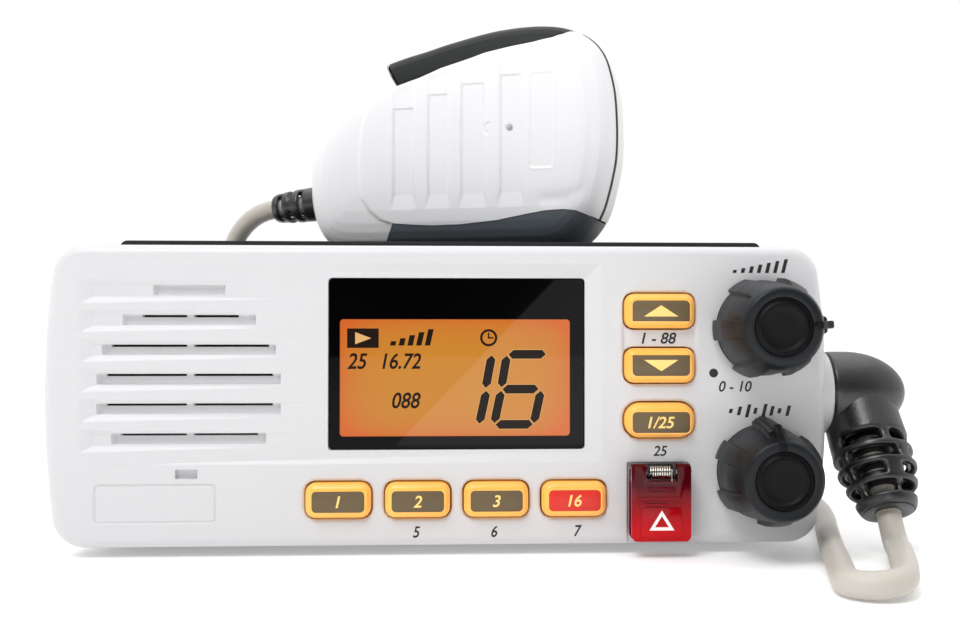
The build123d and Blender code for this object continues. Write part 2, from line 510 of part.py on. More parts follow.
node("mic_capsule", mslab(Pos(18.0, 5.5) * Circle(4.8), 7.5, 12.6))
MR_IN = mic_pt(-47.4, -12.2, 0.0)
MR_OUT = mic_pt(-59.3, -13.3, 0.0)
mu = (V(MR_OUT) - V(MR_IN)).normalized()
mrel = Solid.make_cone(5.1, 4.15, 19.0, Plane(origin=V(MR_OUT) - mu * 19.0, z_dir=mu))
mrel = mrel - mslab(mic_face(), -20, 20)
for i, s in enumerate((2.2, 5.4, 8.6)):
    o = V(MR_IN) + mu * s
    ring = Solid.make_cylinder(7.0, 0.9, Plane(origin=o, x_dir=(0, 0, 1), z_dir=mu)) - Solid.make_cylinder(3.3, 1.2, Plane(origin=o - mu * 0.1, x_dir=(0, 0, 1), z_dir=mu))
    bridge = Plane(origin=o + mu * 0.45, x_dir=(0, 0, 1), z_dir=mu) * (Rot(0, 0, 90 if i % 2 else 0) * Box(2.4, 16.0, 2.0))
    mrel = mrel - (ring - bridge)
mrel = group([max(mrel.solids(), key=lambda s: s.volume)])
node("mic_strain_relief", mrel)

# ---------------------------------------------------------------- cord
FLOOR_Z = CORD_R + 0.1
COIL_Z = COIL_R + 0.15
COIL_X0, COIL_X1, COIL_DD = -46.0, 60.0, 138.5
COIL_MEAN = COIL_R - CORD_R
TAIL_Z = COIL_Z - COIL_MEAN   # the tails enter the coil at its lowest point

tail_radio = [on_axis(REL_L), on_axis(REL_L + 8.0), (98.6, -23.5, 4.9), (95.6, -34.4, 4.6), (93.2, -42.8, 4.2), (89.8, -52.1, 3.6), (83.7, -53.4, 3.1), (79.4, -49.0, 2.9),
              (81.4, -39.8, 2.9), (84.6, -26.0, 2.9), (88.4, -7.5, 2.9), (93.4, 13.0, 2.9), (99.0, 34.5, 2.9), (103.3, 58.0, 2.9), (103.2, 82.0, 2.9),
              (97.6, 104.0, 2.9), (87.8, 121.5, 2.9), (77.0, 133.5, TAIL_Z - 0.3), (COIL_X1 + 8.0, COIL_DD, TAIL_Z), (COIL_X1, COIL_DD, TAIL_Z)]
m_out = V(MR_OUT) + mu * 7.6
tail_mic = [(COIL_X0, COIL_DD, TAIL_Z), (COIL_X0 - 7.0, COIL_DD, TAIL_Z), (-61.4, 133.0, 3.0), (-67.0, 121.5, 3.2), (-69.6, 110.0, 7.5), (-70.4, 103.6, 20.0),
            (-70.2, 101.9, 40.0), (-69.9, 101.5, 60.0), (-69.6, 101.0, 77.0), (m_out.X, m_out.Y - YF, m_out.Z), MR_OUT]


def cord_tube(points, label):
    pts = [V(p) for p in points]
    runs = [(pts[i + 1] - pts[i]).length for i in range(len(pts) - 1)]
    radii = []
    for i in range(1, len(pts) - 1):
        turn = (pts[i] - pts[i - 1]).get_angle(pts[i + 1] - pts[i])
        r = 0.45 * min(runs[i - 1], runs[i]) / tan(radians(turn) / 2)
        radii.append(r)
        print(label, i, "run %.1f / %.1f turn %.1f radius %.1f" % (runs[i - 1], runs[i], turn, r))
    path = FilletPolyline(*pts, radius=radii)
    start = Plane(origin=pts[0], z_dir=(pts[1] - pts[0]))
    tube = sweep(start * Circle(CORD_R), path=path)
    ideal = pi * CORD_R ** 2 * path.length
    print(label, "length %.1f volume ratio %.4f" % (path.length, tube.volume / ideal))
    return tube


node("cord_tail_radio", cord_tube(tail_radio, "radio tail"))
node("cord_tail_mic", cord_tube(tail_mic, "mic tail"))
node("cord_curly", cyl_x(COIL_DD, COIL_Z, COIL_R, COIL_X0, COIL_X1))

# ---------------------------------------------------------------- write
os.makedirs("parts", exist_ok=True)
for name, shape in NODES.items():
    export_step(shape, "parts/%s.step" % name)
print(len(NODES), "nodes")
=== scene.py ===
from math import acos, atan2, cos, degrees, hypot, pi, radians, sin, sqrt

import bmesh
import bpy
import numpy as np
from mathutils import Matrix, Vector


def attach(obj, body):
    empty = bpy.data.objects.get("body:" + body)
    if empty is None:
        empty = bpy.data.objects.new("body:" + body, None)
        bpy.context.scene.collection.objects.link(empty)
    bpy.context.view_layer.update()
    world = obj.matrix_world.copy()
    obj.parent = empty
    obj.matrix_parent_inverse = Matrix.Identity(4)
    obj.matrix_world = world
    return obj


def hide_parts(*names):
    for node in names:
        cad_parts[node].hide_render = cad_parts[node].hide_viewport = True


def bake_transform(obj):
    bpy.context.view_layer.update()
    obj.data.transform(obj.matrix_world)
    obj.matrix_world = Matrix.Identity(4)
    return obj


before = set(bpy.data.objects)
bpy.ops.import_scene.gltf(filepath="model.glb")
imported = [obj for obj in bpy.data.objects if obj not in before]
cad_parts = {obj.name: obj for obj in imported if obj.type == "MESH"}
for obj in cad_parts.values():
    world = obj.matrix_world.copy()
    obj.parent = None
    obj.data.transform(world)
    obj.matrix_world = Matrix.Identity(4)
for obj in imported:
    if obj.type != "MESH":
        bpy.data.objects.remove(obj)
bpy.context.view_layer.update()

MM = 0.001
YF = -58.0       # y of the bezel's front plane, in mm; "d" is the depth behind it
scene = bpy.context.scene


# ---------------------------------------------------------------- mesh helpers (all lengths in mm)
def xdz(a):
    """(x, d, z) rows in mm to world metres."""
    a = np.array(a, dtype=float)
    a[..., 1] += YF
    return a * MM


def mesh(name, verts, faces, mats, body="radio", index=None, sharp=40.0, world=False, rep=(), slot=None):
    me = bpy.data.meshes.new(name)
    v = np.asarray(verts, dtype=float)
    v = v if world else xdz(v)
    if isinstance(faces, np.ndarray):
        faces = faces.tolist()
    me.from_pydata(v.tolist(), [], faces)
    for m in (mats if isinstance(mats, (list, tuple)) else [mats]):
        me.materials.append(m)
    if index is not None:
        me.polygons.foreach_set("material_index", np.asarray(index, dtype=np.int32))
    me.validate()
    me.shade_smooth()
    if sharp is not None:
        me.set_sharp_from_angle(angle=radians(sharp))
    o = bpy.data.objects.new(name, me)
    scene.collection.objects.link(o)
    if body:
        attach(o, body)
    if rep:
        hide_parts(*rep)
    return o


def grid(nu, nv, wrap=False):
    i = np.arange(nu if wrap else nu - 1)
    j = np.arange(nv - 1)
    I, J = np.meshgrid(i, j)
    a, b = J * nu + I, J * nu + (I + 1) % nu
    return np.stack([a, b, b + nu, a + nu], -1).reshape(-1, 4)


def recalc(o, merge=0.0):
    bm = bmesh.new()
    bm.from_mesh(o.data)
    if merge:
        bmesh.ops.remove_doubles(bm, verts=bm.verts, dist=merge * MM)
    bmesh.ops.recalc_face_normals(bm, faces=bm.faces)
    bm.to_mesh(o.data)
    bm.free()
    return o


def apply_mods(o):
    dg = bpy.context.evaluated_depsgraph_get()
    me = bpy.data.meshes.new_from_object(o.evaluated_get(dg))
    o.modifiers.clear()
    o.data = me
    return o


def loft(name, rings, mat, body="radio", cap0=True, cap1=True, sharp=40.0, rep=(), slot=None, closed=True, index_cap1=None, mats=None):
    """Rings of equal point counts, each a list of (x, d, z)."""
    n = len(rings[0])
    v = np.concatenate([np.array(r, dtype=float) for r in rings])
    f = grid(n, len(rings), wrap=closed).tolist()
    idx = [0] * len(f)
    if cap0:
        f.append(list(range(n))[::-1])
        idx.append(0)
    if cap1:
        f.append([(len(rings) - 1) * n + i for i in range(n)])
        idx.append(index_cap1 or 0)
    o = mesh(name, v, f, mats or mat, body=body, index=idx, sharp=sharp, rep=rep, slot=slot)
    return recalc(o)


def rr_loop(cx, cz, w, h, r, n=8):
    """Rounded rectangle in (x, z), with one radius or four (top right, top left, bottom left, bottom right)."""
    r = [r] * 4 if not hasattr(r, "__len__") else list(r)
    pts = []
    for (sx, sz, a0), rad in zip(((1, 1, 0), (-1, 1, 90), (-1, -1, 180), (1, -1, 270)), r):
        rad = max(rad, 0.02)
        for k in range(n + 1):
            a = radians(a0 + 90.0 * k / n)
            pts.append((cx + sx * (w / 2 - rad) + rad * cos(a), cz + sz * (h / 2 - rad) + rad * sin(a)))
    return pts


def at(loop, d):
    return [(x, d, z) for x, z in loop]


def pad_rr(name, cx, cz, w, h, r, steps, mat, **kw):
    """Rounded rectangular body: steps are (inset, depth) from the back to the front."""
    rr4 = [r] * 4 if not hasattr(r, "__len__") else list(r)
    rings = [at(rr_loop(cx, cz, w - 2 * e, h - 2 * e, [max(q - e, 0.05) for q in rr4]), d) for e, d in steps]
    return loft(name, rings, mat, **kw)


def revolve(name, profile, place, mat, n=96, body="radio", sharp=40.0, rep=(), slot=None, close=False):
    """profile is (axial, radius); place(axial, radius, angle) gives (x, d, z)."""
    P = []
    for s, r in profile:
        for k in range(n):
            P.append(place(s, max(r, 1e-4), 2 * pi * k / n))
    f = grid(n, len(profile), wrap=True)
    if close:
        m = len(profile)
        last = np.array([[(m - 1) * n + i, (m - 1) * n + (i + 1) % n, (i + 1) % n, i] for i in range(n)])
        f = np.concatenate([f, last])
    o = mesh(name, P, f, mat, body=body, sharp=sharp, rep=rep, slot=slot)
    return recalc(o, merge=0.002)


def poly_plate(name, polys, d_back, d_front, mat, body="radio", sharp=30.0, **kw):
    """Flat raised shapes: each polygon is a list of (x, z)."""
    V, F = [], []
    for poly in polys:
        n, b = len(poly), len(V)
        V += at(poly, d_back) + at(poly, d_front)
        F += [[b + i, b + (i + 1) % n, b + n + (i + 1) % n, b + n + i] for i in range(n)]
        F += [[b + n + i for i in range(n)], [b + i for i in range(n)][::-1]]
    return recalc(mesh(name, V, F, mat, body=body, sharp=sharp, **kw))


def tube(points, radius, n=20, cap=True):
    """Vertices and faces of a round tube along world points in metres, without twist."""
    P = np.array(points)
    T = np.gradient(P, axis=0)
    T /= np.linalg.norm(T, axis=1)[:, None]
    ref = np.array([0.0, 0.0, 1.0]) if abs(T[0][2]) < 0.9 else np.array([1.0, 0.0, 0.0])
    N = np.cross(T[0], ref)
    N /= np.linalg.norm(N)
    V = []
    for i in range(len(P)):
        N = N - T[i] * (N @ T[i])
        N /= np.linalg.norm(N)
        B = np.cross(T[i], N)
        for k in range(n):
            a = 2 * pi * k / n
            V.append(P[i] + radius * (cos(a) * N + sin(a) * B))
    F = grid(n, len(P), wrap=True).tolist()
    if cap:
        F += [list(range(n))[::-1], [(len(P) - 1) * n + k for k in range(n)]]
    return V, F


# ---------------------------------------------------------------- materials
def lin(h):
    h = h.lstrip("#")
    out = []
    for i in (0, 2, 4):
        c = int(h[i:i + 2], 16) / 255.0
        out.append(c / 12.92 if c <= 0.04045 else ((c + 0.055) / 1.055) ** 2.4)
    return (*out, 1.0)


def scaled(c, k):
    return (min(c[0] * k, 1.0), min(c[1] * k, 1.0), min(c[2] * k, 1.0), 1.0)


def material(name, colour, rough=0.4, var=0.05, mottle=45.0, grain=1800.0, bump=0.1, dist=0.00006, rvar=0.06, metallic=0.0, coat=0.0,
             coat_rough=0.05, sub=0.0, spec=0.5, transmission=0.0, ior=1.46, edge=0.0, second=None, glow=0.0):
    m = bpy.data.materials.new(name)
    m.use_nodes = True
    nt = m.node_tree
    b = nt.nodes["Principled BSDF"]
    tc = nt.nodes.new("ShaderNodeTexCoord").outputs["Object"]

    def noise(scale, detail=2.0):
        n = nt.nodes.new("ShaderNodeTexNoise")
        n.inputs["Scale"].default_value = scale
        n.inputs["Detail"].default_value = detail
        nt.links.new(tc, n.inputs["Vector"])
        return n.outputs["Fac"]

    col = lin(colour)
    ramp = nt.nodes.new("ShaderNodeValToRGB")
    ramp.color_ramp.elements[0].position, ramp.color_ramp.elements[1].position = 0.3, 0.7
    ramp.color_ramp.elements[0].color = scaled(lin(second) if second else col, 1 - var)
    ramp.color_ramp.elements[1].color = scaled(col, 1 + var)
    nt.links.new(noise(mottle, 3.0), ramp.inputs["Fac"])
    nt.links.new(ramp.outputs["Color"], b.inputs["Base Color"])
    mr = nt.nodes.new("ShaderNodeMapRange")
    mr.inputs["To Min"].default_value = max(rough - rvar, 0.0)
    mr.inputs["To Max"].default_value = min(rough + rvar, 1.0)
    nt.links.new(noise(mottle * 4, 2.0), mr.inputs["Value"])
    nt.links.new(mr.outputs["Result"], b.inputs["Roughness"])
    if bump > 0 or edge > 0:
        bp = nt.nodes.new("ShaderNodeBump")
        bp.inputs["Strength"].default_value = max(bump, 0.001)
        bp.inputs["Distance"].default_value = dist
        nt.links.new(noise(grain, 2.0), bp.inputs["Height"])
        if edge > 0:
            bv = nt.nodes.new("ShaderNodeBevel")
            bv.samples = 4
            bv.inputs["Radius"].default_value = edge * MM
            nt.links.new(bv.outputs["Normal"], bp.inputs["Normal"])
        nt.links.new(bp.outputs["Normal"], b.inputs["Normal"])
    b.inputs["Metallic"].default_value = metallic
    b.inputs["Coat Weight"].default_value = coat
    b.inputs["Coat Roughness"].default_value = coat_rough
    b.inputs["Specular IOR Level"].default_value = spec
    b.inputs["IOR"].default_value = ior
    b.inputs["Transmission Weight"].default_value = transmission
    if glow:
        nt.links.new(ramp.outputs["Color"], b.inputs["Emission Color"])
        b.inputs["Emission Strength"].default_value = glow
    if sub:
        b.inputs["Subsurface Weight"].default_value = sub
        b.inputs["Subsurface Radius"].default_value = (1.0, 0.6, 0.4)
        b.inputs["Subsurface Scale"].default_value = 0.0015
    return m


M = {}
M["white"] = material("bezel_white", "#d0d0d2", rough=0.42, var=0.012, mottle=18, grain=2600, bump=0.06, dist=0.00003, rvar=0.05, coat=0.12, coat_rough=0.3)
M["mic_white"] = material("microphone_white", "#ebebed", rough=0.38, var=0.012, mottle=18, grain=2400, bump=0.05, dist=0.00003, rvar=0.05, coat=0.15, coat_rough=0.25)
M["rear_white"] = material("microphone_rear_white", "#eae9e4", rough=0.45, var=0.02, mottle=20, grain=2400, bump=0.06, dist=0.00003)
M["charcoal"] = material("knob_charcoal", "#14171b", rough=0.4, var=0.05, mottle=60, grain=2200, bump=0.16, dist=0.00005, rvar=0.06, spec=0.28)
M["dish"] = material("knob_dish", "#090a0b", rough=0.46, var=0.05, mottle=60, grain=2600, bump=0.12, dist=0.00004, spec=0.18)
# painted light and shade: the talk bar and the thumb grip are one charcoal rubber, but the talk bar gets a darker copy
# to offset its lit top and the grip a lighter copy to offset the shade on its downward face
M["mic_charcoal"] = material("talk_bar_charcoal_painted_shade", "#101315", rough=0.5, var=0.05, mottle=60, grain=2400, bump=0.18, dist=0.00005, spec=0.26)
M["grip_charcoal_painted_light"] = material("grip_charcoal_painted_light", "#50575d", rough=0.5, var=0.05, mottle=60, grain=2400, bump=0.18, dist=0.00005)
M["rubber"] = material("boot_rubber", "#0e0f12", rough=0.36, var=0.08, mottle=90, grain=1300, bump=0.5, dist=0.00010, rvar=0.07, spec=0.95)
M["seal"] = material("seal_rubber", "#111215", rough=0.5, var=0.08, mottle=90, grain=2000, bump=0.15)
M["chassis"] = material("chassis_black", "#1c1d20", rough=0.52, var=0.08, mottle=70, grain=2300, bump=0.35, dist=0.00008, edge=0.45)
M["sink"] = material("heat_sink_black", "#18191b", rough=0.42, var=0.08, mottle=70, grain=2600, bump=0.3, dist=0.00006, metallic=0.35, edge=0.3)
M["steel"] = material("screw_steel", "#b9bcc0", rough=0.28, var=0.06, mottle=300, grain=3500, bump=0.12, metallic=1.0, edge=0.2)
M["brass"] = material("socket_nickel", "#c8c6bd", rough=0.24, var=0.05, mottle=260, grain=3200, bump=0.1, metallic=1.0, edge=0.2)
M["insulator"] = material("insulator_white", "#e4e2da", rough=0.4, var=0.03, mottle=120, grain=2600, bump=0.08)
M["socket"] = material("socket_black", "#161618", rough=0.46, var=0.08, mottle=120, grain=2600, bump=0.2, edge=0.3)
M["board"] = material("board_green", "#1f5a35", rough=0.4, var=0.12, mottle=240, grain=2600, bump=0.2, second="#174527")
M["can"] = material("screening_tin", "#a9acae", rough=0.34, var=0.06, mottle=200, grain=2400, bump=0.12, metallic=1.0, edge=0.2)
M["paper"] = material("speaker_paper", "#2a2725", rough=0.8, var=0.2, mottle=500, grain=3000, bump=0.4)
M["mesh"] = material("membrane_black", "#070708", rough=0.8, var=0.2, mottle=900, grain=3200, bump=0.5)
M["guide"] = material("guide_clear", "#f0e6cf", rough=0.3, var=0.03, mottle=60, grain=2200, bump=0.05)
M["mat"] = material("keypad_silicone", "#8d8f90", rough=0.6, var=0.06, mottle=120, grain=2200, bump=0.15)
M["amber"] = material("key_amber", "#fdb855", rough=0.32, var=0.02, mottle=70, grain=2400, bump=0.04, coat=0.25, coat_rough=0.2, second="#fbb04a", glow=0.14)
M["label"] = material("key_label_brown", "#66563c", rough=0.45, var=0.04, mottle=90, grain=2600, bump=0.05)
M["label_red"] = material("key_label_red", "#d82c1e", rough=0.4, var=0.05, mottle=90, grain=2600, bump=0.05)
M["ink_amber"] = material("ink_amber", "#ffd27c", glow=0.12, rough=0.45, var=0.03, mottle=200, grain=3000, bump=0.05)
M["ink_black"] = material("ink_black", "#15171b", rough=0.5, var=0.06, mottle=300, grain=3000, bump=0.05)
M["ink_white"] = material("ink_white", "#fbf6f4", rough=0.5, var=0.02, mottle=300, grain=3000, bump=0.05)
M["siren_red"] = material("siren_red", "#c81420", rough=0.3, var=0.06, mottle=90, grain=2400, bump=0.05, coat=0.3)
M["spring"] = material("spring_steel", "#d6d3c8", rough=0.2, var=0.05, mottle=300, grain=3200, bump=0.05, metallic=1.0)
M["cord"] = material("cord_ivory", "#bbb7b0", rough=0.42, var=0.025, mottle=35, grain=1900, bump=0.08, dist=0.00005, sub=0.12, second="#bcb5aa")
M["pane"] = material("window_black", "#030304", rough=0.12, var=0.1, mottle=40, grain=2500, bump=0.0, rvar=0.02, spec=0.02, coat=0.15, coat_rough=0.02)
M["floor"] = material("floor_pale", "#f4f4f4", rough=0.75, var=0.01, mottle=2.0, grain=60, bump=0.02, dist=0.0002, glow=0.22)

# painted shade and light on the cover: its colour ramp runs by height, darker maroon towards the top and brighter red
# towards the bottom, and the faint glow follows the same ramp
red = material("cover_red", "#b80414", rough=0.07, var=0.03, mottle=40, grain=900, bump=0.02, dist=0.00004, rvar=0.02, transmission=0.36, ior=1.3, spec=0.25, coat=0.0, glow=0.05)
M["cover"] = red
rt = red.node_tree
rgeo = next(n for n in rt.nodes if n.bl_idname == "ShaderNodeTexCoord")
rsep = rt.nodes.new("ShaderNodeSeparateXYZ")
rt.links.new(rgeo.outputs["Object"], rsep.inputs[0])
rmap = rt.nodes.new("ShaderNodeMapRange")
rmap.inputs["From Min"].default_value, rmap.inputs["From Max"].default_value = 0.020, 0.004
rt.links.new(rsep.outputs[2], rmap.inputs["Value"])
rnoi = next(n for n in rt.nodes if n.bl_idname == "ShaderNodeTexNoise" and n.outputs["Fac"].links and n.outputs["Fac"].links[0].to_node.bl_idname == "ShaderNodeValToRGB")
radd = rt.nodes.new("ShaderNodeMath")
radd.operation = "MULTIPLY_ADD"
rt.links.new(rnoi.outputs["Fac"], radd.inputs[0])
radd.inputs[1].default_value = 0.25
rt.links.new(rmap.outputs["Result"], radd.inputs[2])
rramp = next(n for n in rt.nodes if n.bl_idname == "ShaderNodeValToRGB")
rt.links.new(radd.outputs[0], rramp.inputs["Fac"])
rramp.color_ramp.elements[0].position, rramp.color_ramp.elements[0].color = 0.34, lin("#560310")
rramp.color_ramp.elements[1].position, rramp.color_ramp.elements[1].color = 1.1, lin("#dc101e")


# ---------------------------------------------------------------- camera
def look(azim, pitch):
    f = Vector((sin(azim) * cos(pitch), cos(azim) * cos(pitch), sin(pitch)))
    r = Vector((cos(azim), -sin(azim), 0.0))
    u = r.cross(f)
    return Matrix((r, u, -f)).transposed().to_4x4()


cam_data = bpy.data.cameras.new("camera")
cam = bpy.data.objects.new("camera", cam_data)
scene.collection.objects.link(cam)
cam.matrix_world = Matrix.Translation((0.00982, -0.338, 0.05004)) @ look(radians(2.916), radians(0.826))
cam_data.sensor_width = 36.0
cam_data.sensor_fit = "HORIZONTAL"
cam_data.lens = 1214.5 / 960.0 * 36.0
cam_data.shift_x = -(545.9 - 480.0) / 960.0
cam_data.shift_y = 0.0
cam_data.clip_start, cam_data.clip_end = 0.01, 50.0
scene.camera = cam

# ---------------------------------------------------------------- cord: one NURBS spline, radio to coil to microphone
CORD_R = 2.8
REL_TOP = np.array([101.3, 8.6, 33.4])
REL_END = np.array([102.42, -5.5, 9.72])
REL_L = float(np.linalg.norm(REL_END - REL_TOP))
REL_U = (REL_END - REL_TOP) / REL_L
MIC_O = np.array([4.0, 72.0, 102.15])
ML = np.array([cos(radians(17)), -sin(radians(17)), 0.0])
MN = np.array([-sin(radians(17)), -cos(radians(17)), 0.0])
MZ = np.array([0.0, 0.0, 1.0])


def mic_pt(l, w, t):
    return MIC_O + l * ML + w * MZ + t * MN


MR_IN = mic_pt(-47.4, -12.2, 0.0)
MR_OUT = mic_pt(-59.3, -13.3, 0.0)
MU = (MR_OUT - MR_IN) / np.linalg.norm(MR_OUT - MR_IN)
COIL_X0, COIL_X1, COIL_D, COIL_Z, COIL_M = -46.0, 60.0, 138.5, 8.35, 5.4

route = [tuple(REL_END), tuple(REL_TOP + REL_U * (REL_L + 8.0)), (98.6, -23.5, 4.9), (95.6, -34.4, 4.6), (93.2, -42.8, 4.2), (89.8, -52.1, 3.6), (83.7, -53.4, 3.1),
         (79.4, -49.0, 2.9), (81.4, -39.8, 2.9), (84.6, -26.0, 2.9), (88.4, -7.5, 2.9), (93.4, 13.0, 2.9), (99.0, 34.5, 2.9), (103.3, 58.0, 2.9), (103.2, 82.0, 2.9),
         (97.6, 104.0, 2.9), (87.8, 121.5, 2.9), (77.0, 133.5, 2.65), (68.0, 138.5, 2.95), (60.0, 138.5, 2.95)]
turns, per = 18, 12
ease, tau, total = 3.0, 0.7, 2 * pi * turns
pitch = (COIL_X1 - COIL_X0 - 2 * ease) / turns
RM = COIL_M / cos(pi / per)          # control points stand a little outside the wound radius
for k in range(1, turns * per):
    a = 2 * pi * k / per
    x = COIL_X1 - pitch * a / (2 * pi) - ease * (1 - np.exp(-a / tau)) - ease * np.exp(-(total - a) / tau)
    route.append((float(x), COIL_D - RM * sin(a), COIL_Z - RM * cos(a)))
m_out = MR_OUT + MU * 7.6
route += [(-46.0, 138.5, 2.95), (-53.0, 138.5, 2.95), (-61.4, 133.0, 3.0), (-67.0, 121.5, 3.2), (-69.6, 110.0, 7.5), (-70.4, 103.6, 20.0), (-70.2, 101.9, 40.0), (-69.9, 101.5, 60.0),
          (-69.6, 101.0, 77.0), tuple(m_out), tuple(MR_OUT)]
curve = bpy.data.curves.new("cord_line", "CURVE")
curve.dimensions = "3D"
sp = curve.splines.new("NURBS")
sp.points.add(len(route) - 1)
for p, q in zip(sp.points, route):
    p.co = (q[0] * MM, (YF + q[1]) * MM, q[2] * MM, 1.0)
sp.order_u = 3
sp.use_endpoint_u = True
curve.resolution_u = 5
line_obj = bpy.data.objects.new("cord_line", curve)
scene.collection.objects.link(line_obj)
dg = bpy.context.evaluated_depsgraph_get()
line_me = bpy.data.meshes.new_from_object(line_obj.evaluated_get(dg))
cord_pts = [tuple(v.co) for v in line_me.vertices]
bpy.data.objects.remove(line_obj)
keep = [cord_pts[0]]
for p in cord_pts[1:]:
    if (Vector(p) - Vector(keep[-1])).length > 1e-5:
        keep.append(p)
cord_pts = keep
cord_len = sum((Vector(b) - Vector(a)).length for a, b in zip(cord_pts, cord_pts[1:]))
print("cord length %.1f mm, %d points" % (cord_len / MM, len(cord_pts)))
cv, cf = tube(cord_pts, CORD_R * MM, n=18)
cord = mesh("microphone_cord", cv, cf, M["cord"], body=None, world=True, sharp=60)
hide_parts("cord_tail_radio", "cord_curly", "cord_tail_mic")
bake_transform(cord)
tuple(cord_pts[0])

# ---------------------------------------------------------------- bezel: height field over the front, then walls
Z0, H = 2.3, 69.1
ZC, HH = Z0 + H / 2, H / 2
XS, BULGE = 87.2, 2.8
RA = (HH * HH + BULGE * BULGE) / (2 * BULGE)
CXA = XS + BULGE - RA
RC = 7.5
EDGE = 2.4


def edge_distance(x, z):
    """Distance inward from the bezel's outline."""
    ax = np.abs(x)
    dz = np.abs(z - ZC) - (HH - RC)
    zz = np.clip(np.abs(z - ZC), 0, HH - RC)
    dx = np.where(dz > 0, ax - (CXA + np.sqrt((RA - RC) ** 2 - zz ** 2)), np.hypot(ax - CXA, z - ZC) - (RA - RC))
    dxp, dzp = np.maximum(dx, 0), np.maximum(dz, 0)
    inside = np.minimum(np.maximum(dx, dz), 0)
    return RC - (np.hypot(dxp, dzp) + inside)


def half_width(z):
    dz = np.clip(np.abs(z - ZC) - (HH - RC), 0, RC)
    zz = np.clip(np.abs(z - ZC), 0, HH - RC)
    corner = CXA + np.sqrt((RA - RC) ** 2 - zz ** 2) + np.sqrt(np.maximum(RC ** 2 - dz ** 2, 0))
    side = CXA + np.sqrt(RA ** 2 - (z - ZC) ** 2)
    return np.where(dz > 0, corner, side)


def ticks(lo, hi, step, edges, tight=(0.0, 0.07, 0.2)):
    out = [e + s * o for e in edges for o in tight for s in (-1, 1) if lo < e + s * o < hi]
    out = sorted(set(round(v, 4) for v in out))
    pts = list(out)
    for v in np.arange(lo, hi + step / 2, step):
        if not out or min(abs(v - q) for q in out) > step * 0.4:
            pts.append(float(v))
    pts = sorted(set(pts + [lo, hi]))
    res = [pts[0]]
    for v in pts[1:]:
        if v - res[-1] > 0.02:
            res.append(v)
    return res


def sd_rr(x, z, cx, cz, w, h, r):
    qx, qz = np.abs(x - cx) - (w / 2 - r), np.abs(z - cz) - (h / 2 - r)
    return np.hypot(np.maximum(qx, 0), np.maximum(qz, 0)) + np.minimum(np.maximum(qx, qz), 0) - r


def step(sd, w):
    t = np.clip(0.5 - sd / w, 0, 1)
    return t * t * (3 - 2 * t)


SLOT_Z = (60.96, 54.14, 47.36, 40.67, 33.91, 27.1)
SLOT_L = (16.2, 30.0, 39.2, 41.5, 41.5, 34.8)
SLOT_H = 2.3
ROWS = ((63.7, 58.0), (56.9, 51.4), (50.0, 44.6), (43.2, 37.8), (36.4, 30.95), (29.36, 24.14))
SPX = -57.4
LCD_C, LCD_WIN = (3.63, 44.1), (58.8, 39.3)
KEYS = [("key_row_%d" % (i + 1), x, 13.05, 14.8) for i, x in enumerate((-23.4, -5.35, 12.6, 30.5))]
KEYS += [("channel_up_key", 50.4, 56.3, 16.3), ("channel_down_key", 50.4, 43.7, 16.3), ("power_level_key", 50.4, 31.05, 16.3)]


